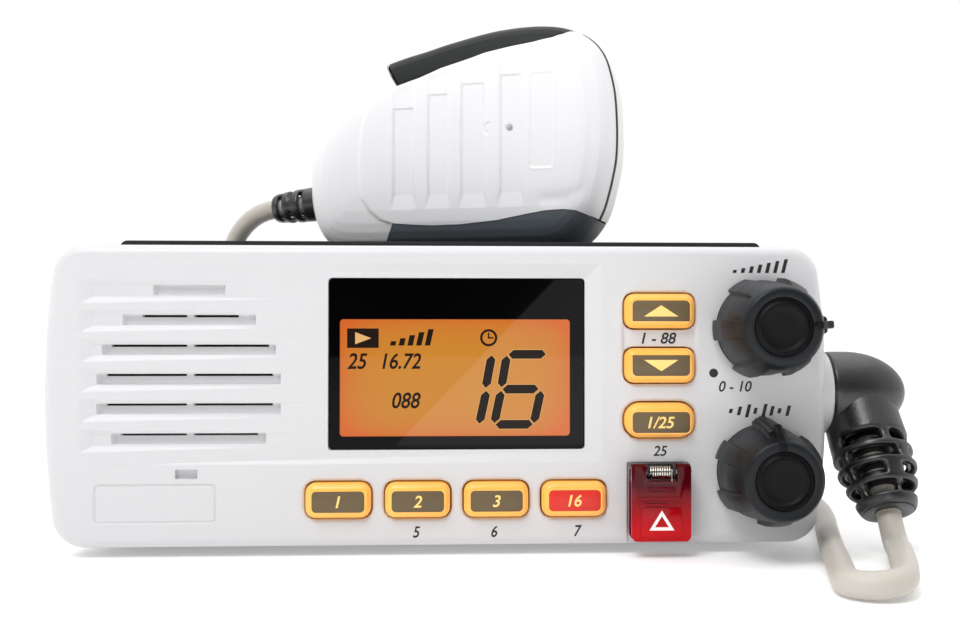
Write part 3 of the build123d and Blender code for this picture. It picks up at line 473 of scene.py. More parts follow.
def bezel_depth(x, z):
    e = np.clip(edge_distance(x, z), 0, EDGE)
    d = EDGE - np.sqrt(np.maximum(EDGE ** 2 - (EDGE - e) ** 2, 0))
    # sunken field, deeper to the right
    p = 1.6 * (x + 80) / 115
    f = np.minimum.reduce([p, (67.4 - z) * (1.6 / 3.8), (z - 21.1) * (1.6 / 2.9), (36.9 - x) * (1.6 / 3.4)])
    f = np.maximum(f, 0)
    # the six grille rows
    floor = np.clip(0.95 - 0.25 * (x + 78) / 48, 0, 1)
    g = np.zeros_like(x)
    for zt, zb in ROWS:
        row = np.minimum.reduce([floor, (zt - z) * 0.64, (z - zb) * 0.64, (x + 81.8) * 0.33])
        g = np.maximum(g, row)
    g = np.where(x < -8, g, 0)
    d = np.maximum(d, np.maximum(f, g))
    for i, (z0, ln) in enumerate(zip(SLOT_Z, SLOT_L)):
        s = sd_rr(x, z, SPX, z0, ln, SLOT_H, 0.28)
        lift = 0.35 * np.clip((z0 + SLOT_H / 2 - z) / SLOT_H, 0, 1)
        d = d + (1.4 - lift) * step(s, 0.2) * np.clip((x - (SPX - ln / 2)) / 0.8, 0, 1)
        if i > 0:
            inset = 4.3 if ln < 31 else 2.0
            for sgn in (-1, 1):
                a, b = SPX + sgn * 1.0, SPX + sgn * (ln / 2 - inset)
                gap = sd_rr(x, z, (a + b) / 2, z0 + SLOT_H / 2 - 0.22, abs(b - a), 0.46, 0.05)
                d = d + 4.0 * step(gap, 0.12)
    # small pocket, bare name field
    d = d + 1.5 * step(sd_rr(x, z, -57.73, 19.06, 4.92, 2.05, 0.25), 0.2)
    pl = sd_rr(x, z, -64.6, 12.45, 27.2, 8.5, 1.1)
    d = d + 0.34 * np.exp(-((pl + 0.1) / 0.26) ** 2) - 0.2 * step(pl + 0.35, 0.5)
    # recesses round the keys
    def recess(cx, cz, w, h, r, depth, slope):
        return depth * step(sd_rr(x, z, cx, cz, w, h, r) + slope / 2, slope)
    d = d + recess(50.5, 49.9, 18.0, 22.6, 3.8, 0.45, 0.9)
    d = d + recess(50.4, 31.05, 18.4, 10.1, 4.6, 0.45, 0.9)
    for i in range(4):
        d = d + recess(KEYS[i][1], KEYS[i][2], 16.9, 10.1, 3.6, 0.45, 0.9)
    for n, cx, cz, w in KEYS:
        r = 3.9 if n == "power_level_key" else 2.58
        d = d + 4.0 * step(sd_rr(x, z, cx, cz, w + 0.56, 8.56, r), 0.2)
    # display opening
    d = d + 4.0 * step(sd_rr(x, z, LCD_C[0], LCD_C[1], LCD_WIN[0] + 0.2, LCD_WIN[1] + 0.2, 1.0), 0.16)
    # the siren cover's seat and the opening for its button
    d = np.maximum(d, 0.95 * step(sd_rr(x, z, 50.05, 9.85, 14.2, 22.9, 0.5), 0.25))
    d = d + 4.0 * step(sd_rr(x, z, 50.3, 10.1, 9.36, 8.96, 1.5), 0.2)
    for cx, cz in ((74.7, 52.4), (74.8, 19.0)):
        d = d + 4.0 * step(np.hypot(x - cx, z - cz) - 4.0, 0.2)
    return d


XI = 79.4
ex = [SPX + s * l / 2 for l in SLOT_L for s in (-1, 1)] + [SPX - l / 2 + 0.8 for l in SLOT_L] + [-60.2, -55.27, LCD_C[0] - 29.5, LCD_C[0] + 29.5, 42.95, 57.15, 45.62, 54.98]
for n, cx, cz, w in KEYS:
    ex += [cx - w / 2 - 0.28, cx + w / 2 + 0.28]
xi = ticks(-XI, XI, 0.3, ex)
ezs = []
for z0 in SLOT_Z:
    ezs += [z0 - SLOT_H / 2, z0 + SLOT_H / 2, z0 + SLOT_H / 2 - 0.45]
ezs += [18.03, 20.08, LCD_C[1] - 19.75, LCD_C[1] + 19.75, 21.6]
for cz in (13.05, 56.3, 43.7, 31.05):
    ezs += [cz - 4.28, cz + 4.28]
phi = np.radians(np.linspace(0, 52, 15))
ztop = [Z0 + H - RC * (1 - cos(a)) for a in phi]
zi = ticks(Z0 + RC * (1 - cos(phi[-1])), Z0 + H - RC * (1 - cos(phi[-1])), 0.3, ezs)
zs = np.array(sorted(set([Z0 + RC * (1 - cos(a)) for a in phi] + zi + ztop)))
mfr = 1 - np.sin(np.linspace(0, pi / 2, 26))     # 1 at the inside, 0 at the outline
hw = half_width(zs)
cols = []
for f in mfr[:0:-1]:
    cols.append(-(hw - (hw - XI) * f))
for x in xi:
    cols.append(np.full_like(zs, x))
for f in mfr[1:]:
    cols.append(hw - (hw - XI) * f)
X = np.stack(cols, 1)
ZZ = np.repeat(zs[:, None], X.shape[1], 1)
D = bezel_depth(X, ZZ)
ny, nx = X.shape
bv = np.stack([X, np.minimum(D, 3.3), ZZ], -1).reshape(-1, 3)
bf = grid(nx, ny)
fd = D.reshape(-1)[bf].min(1)
bf = bf[fd < 3.1]
idx = np.arange(nx * ny).reshape(ny, nx)
rim = np.concatenate([idx[0, :], idx[1:, -1], idx[-1, -2::-1], idx[-2:0:-1, 0]])
rp = bv[rim]
cen = np.array([0.0, 0.0, ZC])
extra, layers = [], [(0.0, 6.0), (0.0, 12.0), (0.0, 19.3), (0.12, 19.75), (0.5, 20.0), (2.6, 20.0), (2.6, 5.0)]
for inset, dep in layers:
    q = rp.copy()
    k = (np.abs(q[:, 0:1]) - inset) / np.maximum(np.abs(q[:, 0:1]), 1e-6)
    q[:, 0:1] *= np.clip(k, 0, 1)
    q[:, 2] = ZC + (q[:, 2] - ZC) * (HH - inset) / HH
    q[:, 1] = dep
    extra.append(q)
base = len(bv)
m = len(rim)
faces = [bf]
prev = rim
for k in range(len(layers)):
    cur = base + k * m + np.arange(m)
    faces.append(np.stack([prev, np.roll(prev, -1), np.roll(cur, -1), cur], -1))
    prev = cur
bv = np.concatenate([bv] + extra)
bez = mesh("bezel_shell", bv, np.concatenate(faces), M["white"], rep=("front_bezel",), slot="white_case", sharp=38)
bm = bmesh.new()
bm.from_mesh(bez.data)
loose = [v for v in bm.verts if not v.link_faces]
bmesh.ops.delete(bm, geom=loose, context="VERTS")
bmesh.ops.recalc_face_normals(bm, faces=bm.faces)
bm.to_mesh(bez.data)
bm.free()
print("bezel verts", len(bez.data.vertices))

# cable boss on the right side
revolve("cable_boss", [(87.2, 9.87), (91.2, 9.87), (91.6, 9.75), (91.9, 9.4), (91.9, 3.2)],
        lambda s, r, a: (s, 10.0 + r * cos(a), 36.9 + r * sin(a)), M["white"], slot="white_case")

# ---------------------------------------------------------------- display
VC, VW = (3.2, 40.85), (53.1, 27.0)


def plate_with_hole(name, outer, inner, d0, d1, mat, **kw):
    n = len(outer)
    rings = [at(inner, d0), at(outer, d0), at([(x * 1.0, z) for x, z in outer], d1 + 0.15),
             at([(LCD_C[0] + (x - LCD_C[0]) * 0.996, LCD_C[1] + (z - LCD_C[1]) * 0.994) for x, z in outer], d1), at(inner, d1), at(inner, d0)]
    return loft(name, rings, mat, cap0=False, cap1=False, **kw)


plate_with_hole("display_mask", rr_loop(LCD_C[0], LCD_C[1], 58.8, 39.3, 0.9), rr_loop(VC[0], VC[1], VW[0], VW[1], 0.8), 2.8, 1.6, M["pane"], rep=("display_window",), slot="window_clear")

# amber display: warm backlight, redder towards its edges
lm = bpy.data.materials.new("lcd_amber")
lm.use_nodes = True
nt = lm.node_tree
bs = nt.nodes["Principled BSDF"]
tc = nt.nodes.new("ShaderNodeTexCoord").outputs["Object"]
sep = nt.nodes.new("ShaderNodeSeparateXYZ")
nt.links.new(tc, sep.inputs[0])


def mth(op, a, b=None, clamp=False):
    n = nt.nodes.new("ShaderNodeMath")
    n.operation = op
    n.use_clamp = clamp
    for i, v in enumerate((a, b)):
        if v is None:
            continue
        if isinstance(v, (int, float)):
            n.inputs[i].default_value = v
        else:
            nt.links.new(v, n.inputs[i])
    return n.outputs[0]


dx = mth("ABSOLUTE", mth("SUBTRACT", sep.outputs[0], VC[0] * MM))
dz = mth("ABSOLUTE", mth("SUBTRACT", sep.outputs[2], VC[1] * MM))
qx = mth("POWER", mth("DIVIDE", dx, 27.6 * MM), 5.0)
qz = mth("POWER", mth("DIVIDE", dz, 14.6 * MM), 4.0)
nz = nt.nodes.new("ShaderNodeTexNoise")
nz.inputs["Scale"].default_value = 60.0
nt.links.new(tc, nz.inputs["Vector"])
rad = mth("ADD", mth("ADD", qx, qz, True), mth("MULTIPLY", mth("SUBTRACT", nz.outputs["Fac"], 0.5), 0.12), True)
cr = nt.nodes.new("ShaderNodeValToRGB")
els = cr.color_ramp.elements
els[0].position, els[0].color = 0.0, lin("#cd8730")
els[1].position, els[1].color = 1.0, lin("#d8682c")
mid = els.new(0.4)
mid.color = lin("#d07c30")
nt.links.new(rad, cr.inputs["Fac"])
nt.links.new(cr.outputs["Color"], bs.inputs["Emission Color"])
bs.inputs["Emission Strength"].default_value = 0.93
bs.inputs["Base Color"].default_value = lin("#3a2408")
bs.inputs["Roughness"].default_value = 0.25
bs.inputs["Coat Weight"].default_value = 0.4
bs.inputs["Specular IOR Level"].default_value = 0.02
bs.inputs["Coat Roughness"].default_value = 0.02
M["lcd"] = lm
pad_rr("lcd_panel", VC[0], VC[1], 55.0, 29.0, 1.0, [(0.0, 5.6), (0.0, 2.6), (0.15, 2.45)], lm, rep=("lcd_glass",), slot="lcd_amber")

lcd_ink = material("lcd_segment", "#190d06", rough=0.4, var=0.06, mottle=120, grain=2600, bump=0.03, coat=0.1, coat_rough=0.04, spec=0.1)
lit = bpy.data.materials.new("lcd_segment_edge")
lit.use_nodes = True
n_ = lit.node_tree
b_ = n_.nodes["Principled BSDF"]
nz2 = n_.nodes.new("ShaderNodeTexNoise")
nz2.inputs["Scale"].default_value = 90.0
rp2 = n_.nodes.new("ShaderNodeValToRGB")
rp2.color_ramp.elements[0].color, rp2.color_ramp.elements[1].color = lin("#e0aa62"), lin("#edbb74")
n_.links.new(nz2.outputs["Fac"], rp2.inputs["Fac"])
n_.links.new(rp2.outputs["Color"], b_.inputs["Emission Color"])
b_.inputs["Emission Strength"].default_value = 0.9
b_.inputs["Base Color"].default_value = lin("#3a2408")


def segment(a, b, w, grow=0.0):
    """Pointed bar from a to b."""
    ax, az = a
    bx, bz = b
    L = hypot(bx - ax, bz - az)
    tx, tz = (bx - ax) / L, (bz - az) / L
    nx_, nz_ = -tz, tx
    if abs(tx) > abs(tz):            # level bar: ends slope with the digits
        nx_, nz_ = 0.18, 1.0
    else:
        nx_, nz_ = -1.0, 0.0
    w2 = w / 2 + grow
    a = (ax - tx * grow * 1.3, az - tz * grow * 1.3)
    b = (bx + tx * grow * 1.3, bz + tz * grow * 1.3)
    c = w2 * 0.98
    return [a, (a[0] + tx * c + nx_ * w2, a[1] + tz * c + nz_ * w2), (b[0] - tx * c + nx_ * w2, b[1] - tz * c + nz_ * w2), b,
            (b[0] - tx * c - nx_ * w2, b[1] - tz * c - nz_ * w2), (a[0] + tx * c - nx_ * w2, a[1] + tz * c - nz_ * w2)]


SEGS = [((11.62, 45.9), (10.22, 38.3)), ((10.38, 37.66), (8.74, 30.02)), ((15.5, 46.1), (24.2, 46.1)), ((15.1, 45.8), (13.86, 38.44)), ((14.1, 38.02), (22.5, 38.02)),
        ((13.8, 37.65), (12.21, 30.13)), ((23.02, 37.63), (21.4, 30.1)), ((12.5, 29.84), (21.15, 29.84))]
DIG = [((a[0], a[1] + 0.15), (b[0], b[1] + 0.15)) for a, b in SEGS]
poly_plate("digit_glow", [segment(a, b, 2.05, 0.13) for a, b in DIG], 2.5, 2.42, lit, slot="lcd_amber")
poly_plate("digit_segments", [segment(a, b, 2.05) for a, b in DIG], 2.46, 2.36, lcd_ink, slot="lcd_amber")

# generic signs on the display: transmit arrow in a dark box, signal bars, clock, small numbers
SH = 0.22


def slant(pts, x0, z0):
    return [(x0 + px + SH * pz, z0 + pz) for px, pz in pts]


box_ = [(-21.75, 47.75), (-14.5, 47.75), (-14.5, 52.25), (-21.75, 52.25)]
poly_plate("sign_box", [box_], 2.5, 2.38, lcd_ink, slot="lcd_amber")
poly_plate("sign_arrow", [[(-19.9, 48.6), (-16.2, 50.0), (-19.9, 51.4)]], 2.4, 2.35, lit, slot="lcd_amber")
poly_plate("signal_bars", [slant([(i * 2.0, 0), (i * 2.0 + 1.25, 0), (i * 2.0 + 1.25, 1.0 + i * 0.7), (i * 2.0, 1.0 + i * 0.7)], -11.9, 48.3) for i in range(5)], 2.5, 2.38, lcd_ink, slot="lcd_amber")
ring_o = [(10.9 + 2.0 * cos(a), 50.1 + 2.0 * sin(a)) for a in np.linspace(0, 2 * pi, 33)[:-1]]
ring_i = [(10.9 + 1.45 * cos(a), 50.1 + 1.45 * sin(a)) for a in np.linspace(0, 2 * pi, 33)[:-1]]
loft("clock_ring", [at(ring_i, 2.5), at(ring_o, 2.5), at(ring_o, 2.38), at(ring_i, 2.38), at(ring_i, 2.5)], lcd_ink, cap0=False, cap1=False, slot="lcd_amber")
poly_plate("clock_hands", [[(10.7, 49.9), (11.05, 49.9), (11.05, 51.3), (10.7, 51.3)], [(10.7, 49.9), (12.0, 49.9), (12.0, 50.25), (10.7, 50.25)]], 2.5, 2.38, lcd_ink, slot="lcd_amber")


def number(name, text, cx, cz, height, d, mat, shear=0.22, bold=0.015, body="radio", thick=0.06, squeeze=0.86):
    cu = bpy.data.curves.new(name + "_c", "FONT")
    cu.body = text
    cu.size = 1.0
    cu.shear = shear
    cu.offset = bold
    cu.extrude = 0.0
    cu.align_x = "CENTER"
    tmp = bpy.data.objects.new(name + "_t", cu)
    scene.collection.objects.link(tmp)
    g = bpy.context.evaluated_depsgraph_get()
    me = bpy.data.meshes.new_from_object(tmp.evaluated_get(g))
    bpy.data.objects.remove(tmp)
    co = np.array([v.co[:] for v in me.vertices])
    lo, hi = co.min(0), co.max(0)
    k = height / (hi[1] - lo[1])
    x = (co[:, 0] - (lo[0] + hi[0]) / 2) * k * squeeze + cx
    z = (co[:, 1] - (lo[1] + hi[1]) / 2) * k + cz
    V = np.stack([x, np.full_like(x, d), z], -1)
    F = [list(p.vertices) for p in me.polygons]
    bm = bmesh.new()
    vs = [bm.verts.new(v) for v in xdz(V)]
    for f in F:
        try:
            bm.faces.new([vs[i] for i in f])
        except ValueError:
            pass
    bmesh.ops.remove_doubles(bm, verts=bm.verts, dist=1e-7)
    bmesh.ops.recalc_face_normals(bm, faces=bm.faces)
    ext = bmesh.ops.extrude_face_region(bm, geom=list(bm.faces))
    for e in ext["geom"]:
        if isinstance(e, bmesh.types.BMVert):
            e.co.y -= thick * MM
    bmesh.ops.recalc_face_normals(bm, faces=bm.faces)
    out = bpy.data.meshes.new(name)
    bm.to_mesh(out)
    bm.free()
    out.materials.append(mat)
    o = bpy.data.objects.new(name, out)
    scene.collection.objects.link(o)
    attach(o, body)
    return o


number("small_number_25", "25", -19.4, 44.7, 3.7, 2.44, lcd_ink)
number("small_number_1672", "16.72", -9.2, 44.7, 3.7, 2.44, lcd_ink)
number("small_number_08", "088", -8.1, 35.6, 3.7, 2.44, lcd_ink)

# ---------------------------------------------------------------- keys
KEY_BODY = {"key_row_1": "row_key_1", "key_row_2": "row_key_2", "key_row_3": "row_key_3", "key_row_4": "row_key_4",
            "channel_up_key": "channel_up", "channel_down_key": "channel_down", "power_level_key": "power_level"}
for n, cx, cz, w in KEYS:
    body = KEY_BODY[n]
    r = 3.6 if n == "power_level_key" else 2.3
    lw, lh, lx, lz = (11.9, 4.8, cx + 0.15, cz - 0.25) if n.startswith("key_row") else (13.3, 4.8, cx + 0.2, cz)
    if n == "power_level_key":
        lz = cz - 0.45
    top = 1.9
    rings = [at(rr_loop(cx, cz, w, 8.0, r), 3.4), at(rr_loop(cx, cz, w, 8.0, r), -0.3), at(rr_loop(cx, cz, w - 0.25, 7.75, r - 0.1), -0.75),
             at(rr_loop(cx, cz, w - 0.8, 7.2, r - 0.3), -1.15)]
    for k in (0.35, 0.7, 1.0):
        ww, hh = (w - 0.8) * (1 - k) + (lw + 0.5) * k, 7.2 * (1 - k) + (lh + 0.5) * k
        rings.append(at(rr_loop(cx * (1 - k) + lx * k, cz * (1 - k) + lz * k, ww, hh, (r - 0.3) * (1 - k) + 1.0 * k), -1.15 - (top - 1.15) * (1 - (1 - k) ** 2)))
    loft(n + "_cap", rings, M["amber"], body=body, rep=(n,), slot="key_red" if n == "key_row_4" else "key_amber", sharp=50)
    lr = {"channel_up_key": (1.1, 1.1, 0.15, 0.15), "channel_down_key": (0.15, 0.15, 1.1, 1.1)}.get(n, 1.0)
    lab = M["label_red"] if n == "key_row_4" else M["label"]
    pad_rr(n + "_label", lx, lz, lw, lh, lr, [(0.0, -1.7), (0.0, -1.93), (0.05, -1.97)], lab, body=body, slot="key_amber")
    if n == "channel_up_key":
        poly_plate(n + "_mark", [[(lx - 4.0, lz - 1.3), (lx + 4.0, lz - 1.3), (lx, lz + 1.3)]], -1.9, -2.02, M["ink_amber"], body=body, slot="key_amber")
    elif n == "channel_down_key":
        poly_plate(n + "_mark", [[(lx - 4.0, lz + 1.3), (lx, lz - 1.3), (lx + 4.0, lz + 1.3)]], -1.9, -2.02, M["ink_amber"], body=body, slot="key_amber")
    elif n == "power_level_key":
        number(n + "_mark", "1/25", lx, lz, 2.7, -1.94, M["ink_amber"], body=body, squeeze=1.0)
    else:
        number(n + "_mark", {"key_row_1": "1", "key_row_2": "2", "key_row_3": "3", "key_row_4": "16"}[n], lx, lz, 2.7, -1.94, M["ink_amber"], body=body, squeeze=1.0)

# printed signs on the bezel: numbers, ticks and a dot in place of the words
bar = lambda x0, x1, z0, z1, s=0.25: [(x0 + s * 0, z0), (x1, z0), (x1 + s * (z1 - z0), z1), (x0 + s * (z1 - z0), z1)]
vol = [bar(67.6 + i * 1.9, 67.6 + i * 1.9 + 0.85, 65.2, 65.9 + i * 0.42) for i in range(7)]
poly_plate("volume_wedge", vol, 0.02, -0.03, M["ink_black"], slot="white_case")
sq = [bar(66.6 + i * 1.9, 66.6 + i * 1.9 + 0.8, 33.1 - h, 33.1 + h) for i, h in enumerate((0.5, 1.0, 1.5, 0.7, 1.6, 1.1, 0.6, 1.2))]
poly_plate("squelch_wave", sq, 0.02, -0.03, M["ink_black"], slot="white_case")
poly_plate("power_dot", [[(63.1 + 1.04 * cos(a), 41.9 + 1.04 * sin(a)) for a in np.linspace(0, 2 * pi, 33)[:-1]]], 0.02, -0.03, M["ink_black"], slot="white_case")
number("power_mark", "0 - 10", 68.2, 38.8, 2.5, 0.0, M["ink_black"], thick=0.03, squeeze=0.95)
number("channel_range", "1 - 88", 50.4, 50.0, 2.6, 0.42, M["ink_black"], thick=0.03, squeeze=1.0)
number("power_range", "25", 50.6, 23.9, 2.4, 0.0, M["ink_black"], thick=0.03, squeeze=0.95)
number("row_mark_2", "5", -5.6, 5.6, 2.6, 0.0, M["ink_black"], thick=0.03)
number("row_mark_3", "6", 12.2, 5.6, 2.6, 0.0, M["ink_black"], thick=0.03)
number("row_mark_4", "7", 31.5, 5.6, 2.6, 0.0, M["ink_black"], thick=0.03)

# ---------------------------------------------------------------- siren: button, cover, spring
pad_rr("siren_button_cap", 50.3, 10.1, 8.8, 8.4, 1.2, [(0, 3.4), (0, -1.7), (0.2, -2.15), (0.6, -2.35), (1.4, -2.42)], M["siren_red"], body="siren_push", rep=("siren_button",), slot="siren_red")


def prism(name, poly, d0, d1, bevel=0.0, seg=3):
    n = len(poly)
    bm = bmesh.new()
    a = [bm.verts.new(p) for p in xdz(np.array(at(poly, d0)))]
    b = [bm.verts.new(p) for p in xdz(np.array(at(poly, d1)))]
    for i in range(n):
        bm.faces.new([a[i], a[(i + 1) % n], b[(i + 1) % n], b[i]])
    bm.faces.new(a[::-1])
    bm.faces.new(b)
    bmesh.ops.recalc_face_normals(bm, faces=bm.faces)
    me = bpy.data.meshes.new(name)
    bm.to_mesh(me)
    bm.free()
    o = bpy.data.objects.new(name, me)
    scene.collection.objects.link(o)
    return o


def boolean(a, b, op):
    m_ = a.modifiers.new("b", "BOOLEAN")
    m_.operation = op
    m_.solver = "EXACT"
    m_.object = b
    apply_mods(a)
    bpy.data.objects.remove(b)
    return a


def xcyl(name, x0, x1, r, d=-3.6, z=19.3, n=40):
    bm = bmesh.new()
    rings = []
    for x in (x0, x1):
        rings.append([bm.verts.new(p) for p in xdz(np.array([(x, d + r * cos(2 * pi * k / n), z + r * sin(2 * pi * k / n)) for k in range(n)]))])
    for i in range(n):
        bm.faces.new([rings[0][i], rings[0][(i + 1) % n], rings[1][(i + 1) % n], rings[1][i]])
    bm.faces.new(rings[0][::-1])
    bm.faces.new(rings[1])
    bmesh.ops.recalc_face_normals(bm, faces=bm.faces)
    me = bpy.data.meshes.new(name)
    bm.to_mesh(me)
    bm.free()
    o = bpy.data.objects.new(name, me)
    scene.collection.objects.link(o)
    return o


CX0, CX1, CZ0 = 43.25, 56.8, 3.9
rb = 1.3
bot = [(CX0 + rb - rb * sin(a), CZ0 + rb - rb * cos(a)) for a in np.linspace(pi / 2, 0, 7)]
bot += [(CX1 - rb + rb * sin(a), CZ0 + rb - rb * cos(a)) for a in np.linspace(0, pi / 2, 7)]
plate_poly = bot + [(CX1, 20.9), (53.7, 20.9), (53.7, 17.45), (46.6, 17.45), (46.6, 20.9), (CX0, 20.9)]
cov = prism("siren_flap", plate_poly, -4.7, -6.0)
rim_outer = bot + [(CX1, 19.8), (CX0, 19.8)]
rimo = prism("rim_o", rim_outer, -0.5, -4.8)
wi = 1.1
inn = [(CX0 + wi, CZ0 + wi), (CX1 - wi, CZ0 + wi), (CX1 - wi, 21.4), (CX0 + wi, 21.4)]
rimi = prism("rim_i", inn, -0.3, -4.75)
boolean(rimo, rimi, "DIFFERENCE")
rimn = prism("rim_n", [(46.5, 17.35), (53.8, 17.35), (53.8, 21.4), (46.5, 21.4)], -0.3, -4.95)
boolean(rimo, rimn, "DIFFERENCE")
boolean(cov, rimo, "UNION")
for x0, x1 in ((CX0, 46.6), (53.7, CX1)):
    boolean(cov, xcyl("kn", x0, x1, 2.1), "UNION")
    boolean(cov, xcyl("kb", x0 - 0.2, x1 + 0.2, 0.86), "DIFFERENCE")
ridge = prism("ridge", rr_loop(49.5, 13.6, 9.9, 0.8, 0.38, 5), -5.9, -6.55)
boolean(cov, ridge, "UNION")
ridge = prism("ridge", rr_loop(48.9, 12.3, 4.7, 0.5, 0.22, 5), -5.9, -6.4)
boolean(cov, ridge, "UNION")
lower = prism("lower", [(45.2, 4.9), (54.8, 4.9), (54.4, 11.6), (45.6, 11.6)], -5.9, -6.3)
boolean(cov, lower, "UNION")
lip = prism("lip", [(46.9, 15.6), (53.3, 15.6), (52.9, 16.2), (47.3, 16.2)], -5.9, -6.4)
boolean(cov, lip, "UNION")
bev = cov.modifiers.new("bev", "BEVEL")
bev.width = 0.22 * MM
bev.segments = 3
bev.limit_method = "ANGLE"
bev.angle_limit = radians(35)
bev.use_clamp_overlap = True
apply_mods(cov)
cov.data.materials.clear()
cov.data.materials.append(M["cover"])
# painted shade: the cover's side walls get a darker, matt copy of its red, standing in for the deeper colour seen
# through its thickness
M["cover_wall"] = material("cover_wall_painted_shade", "#6a0820", rough=0.7, var=0.08, mottle=90, grain=2400, bump=0.05, spec=0.0)
cov.data.materials.append(M["cover_wall"])
for poly in cov.data.polygons:
    cen_ = poly.center
    knuckle = hypot(cen_.y / MM - YF + 3.6, cen_.z / MM - 19.3) < 2.4
    poly.material_index = 1 if abs(poly.normal.y) < 0.6 and not knuckle else 0
cov.data.shade_smooth()
cov.data.set_sharp_from_angle(angle=radians(32))
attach(cov, "siren_flap")
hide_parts("siren_cover")
# a plain warning triangle in place of the word
tri_o, tri_i = [(47.2, 6.5), (52.9, 6.5), (50.05, 11.0)], [(48.45, 7.22), (51.65, 7.22), (50.05, 9.75)]
loft("siren_sign", [at(tri_i, -6.3), at(tri_o, -6.3), at(tri_o, -6.36), at(tri_i, -6.36), at(tri_i, -6.3)], M["ink_white"], body="siren_flap", cap0=False, cap1=False, slot="cover_red")

# torsion spring
sp_pts = []
for k in range(9 * 20 + 1):
    a = 2 * pi * k / 20
    sp_pts.append(xdz(np.array([47.75 + 4.85 * k / 180, -3.6 - 1.3 * cos(a), 19.3 + 1.3 * sin(a)])))
lead = [xdz(np.array([47.75, -4.9 + 0.0, 18.4])), xdz(np.array([47.75, -4.6, 17.4]))]
tail = [xdz(np.array([52.62, -5.0, 18.3])), xdz(np.array([52.55, -5.4, 17.3])), xdz(np.array([52.2, -5.55, 16.7]))]
spv, spf = tube(sp_pts + tail, 0.24 * MM, n=8)
mesh("torsion_spring", spv, spf, M["spring"], world=True, rep=("siren_spring",), slot="screw_steel", sharp=60)

# ---------------------------------------------------------------- knobs
def knob_r(d):
    return float(np.interp(-d, (0.7, 9.0, 14.5, 20.5), (12.1, 11.5, 10.6, 8.6)))


def knob(name, node, cx, cz, pointer, body):
    prof = [(0.0, 10.9, 0), (-0.5, 11.1, 0), (-0.75, 11.95, 1), (-1.1, 12.1, 1)]
    prof += [(-q, knob_r(-q), 1) for q in (3.0, 5.0, 7.0, 8.6)] + [(-9.2, 11.45, 1), (-10.6, 11.26, 1), (-12.0, 11.02, 1), (-13.4, 10.76, 1), (-14.6, 10.48, 1), (-15.8, 10.12, 1), (-17.2, 9.68, 1)]
    prof += [(-17.55, 9.57, 1), (-17.8, 9.5, 0.5), (-18.05, 9.4, 0), (-18.8, 9.15, 0), (-19.6, 8.85, 0), (-20.1, 8.6, 0), (-20.4, 8.25, 0), (-20.5, 7.9, 0)]
    cut = len(prof) - 1
    prof += [(-20.5, 7.2, 0), (-20.52, 6.85, 0), (-20.45, 6.55, 0), (-20.1, 6.38, 0), (-19.85, 6.15, 0), (-19.85, 5.85, 0), (-20.05, 5.55, 0), (-20.25, 5.3, 0), (-20.3, 5.12, 0), (-20.2, 4.95, 0),
             (-19.85, 4.8, 0), (-19.7, 4.45, 0), (-19.65, 3.0, 0), (-19.62, 1.5, 0), (-19.62, 0.0, 0)]
    n = 480
    th = 2 * pi * np.arange(n) / n
    rel = (np.degrees(th) - pointer + 30.0) % 60.0 - 30.0       # 0 at a pad's middle
    rec = np.clip((np.abs(rel) - 11.3) / 1.0, 0, 1)
    rec = rec * rec * (3 - 2 * rec)
    V = []
    for d, r, wgt in prof:
        rr_ = r - 1.08 * rec * wgt
        V.append(np.stack([cx + rr_ * np.cos(th), np.full(n, d), cz + rr_ * np.sin(th)], -1))
    V = np.concatenate(V)
    F = grid(n, len(prof), wrap=True)
    mi = np.zeros(len(F), dtype=int)
    ring_of = F[:, 0] // n
    mi[ring_of >= cut + 3] = 1
    o = mesh(name, V, F, [M["charcoal"], M["dish"]], body=body, index=mi, rep=(node,), slot="knob_charcoal", sharp=45)
    recalc(o, merge=0.002)
    # pointer: a raised step along one pad, a rib along its middle and a nib that runs down to the front, coloured with
    # the darker dish material as painted shade
    a = radians(pointer)
    ux, uz, tx, tz = cos(a), sin(a), -sin(a), cos(a)

    def P(r, t, d):
        return (cx + r * ux + t * tx, d, cz + r * uz + t * tz)

    def bar(label, rows_, mat, low=6.6):
        rings = []
        for d, r, h, c in rows_:
            rings.append([P(low, -h, d), P(r - c, -h, d), P(r, -h + c, d), P(r, h - c, d), P(r - c, h, d), P(low, h, d)])
        loft(name + label, rings, mat, body=body, slot="knob_charcoal", sharp=35)

    bar("_step", [(-0.9, 12.2, 1.9, 0.5)] + [(-q, knob_r(-q) + 0.5, 1.9, 0.45) for q in (1.3, 5.0, 9.0, 12.0, 14.6)] + [(-15.0, 10.6, 1.8, 0.4)], M["charcoal"])
    bar("_rib", [(-0.9, 12.6, 0.8, 0.25)] + [(-q, knob_r(-q) + 0.95, 0.78, 0.24) for q in (1.3, 5.0, 9.0, 12.0, 14.6)] + [(-15.2, 11.5, 0.78, 0.2)], M["charcoal"])
    # the pointer's nib and front wedge take the darker dish material: painted shade, not a different part colour
    bar("_pointer", [(-14.8, 11.6, 0.8, 0.3), (-15.3, 12.15, 0.86, 0.3), (-16.3, 12.1, 0.86, 0.3), (-16.9, 11.6, 0.86, 0.3), (-17.6, 10.7, 0.84, 0.25), (-18.8, 9.75, 0.82, 0.2), (-20.3, 9.0, 0.8, 0.2),
                     (-20.75, 8.5, 0.78, 0.2), (-20.8, 7.8, 0.7, 0.2)], M["dish"])
    return o


knob("volume_dial", "volume_knob", 74.7, 52.4, 3.0, "volume_knob_group")
knob("squelch_dial", "squelch_knob", 74.8, 19.0, 93.0, "squelch_knob_group")

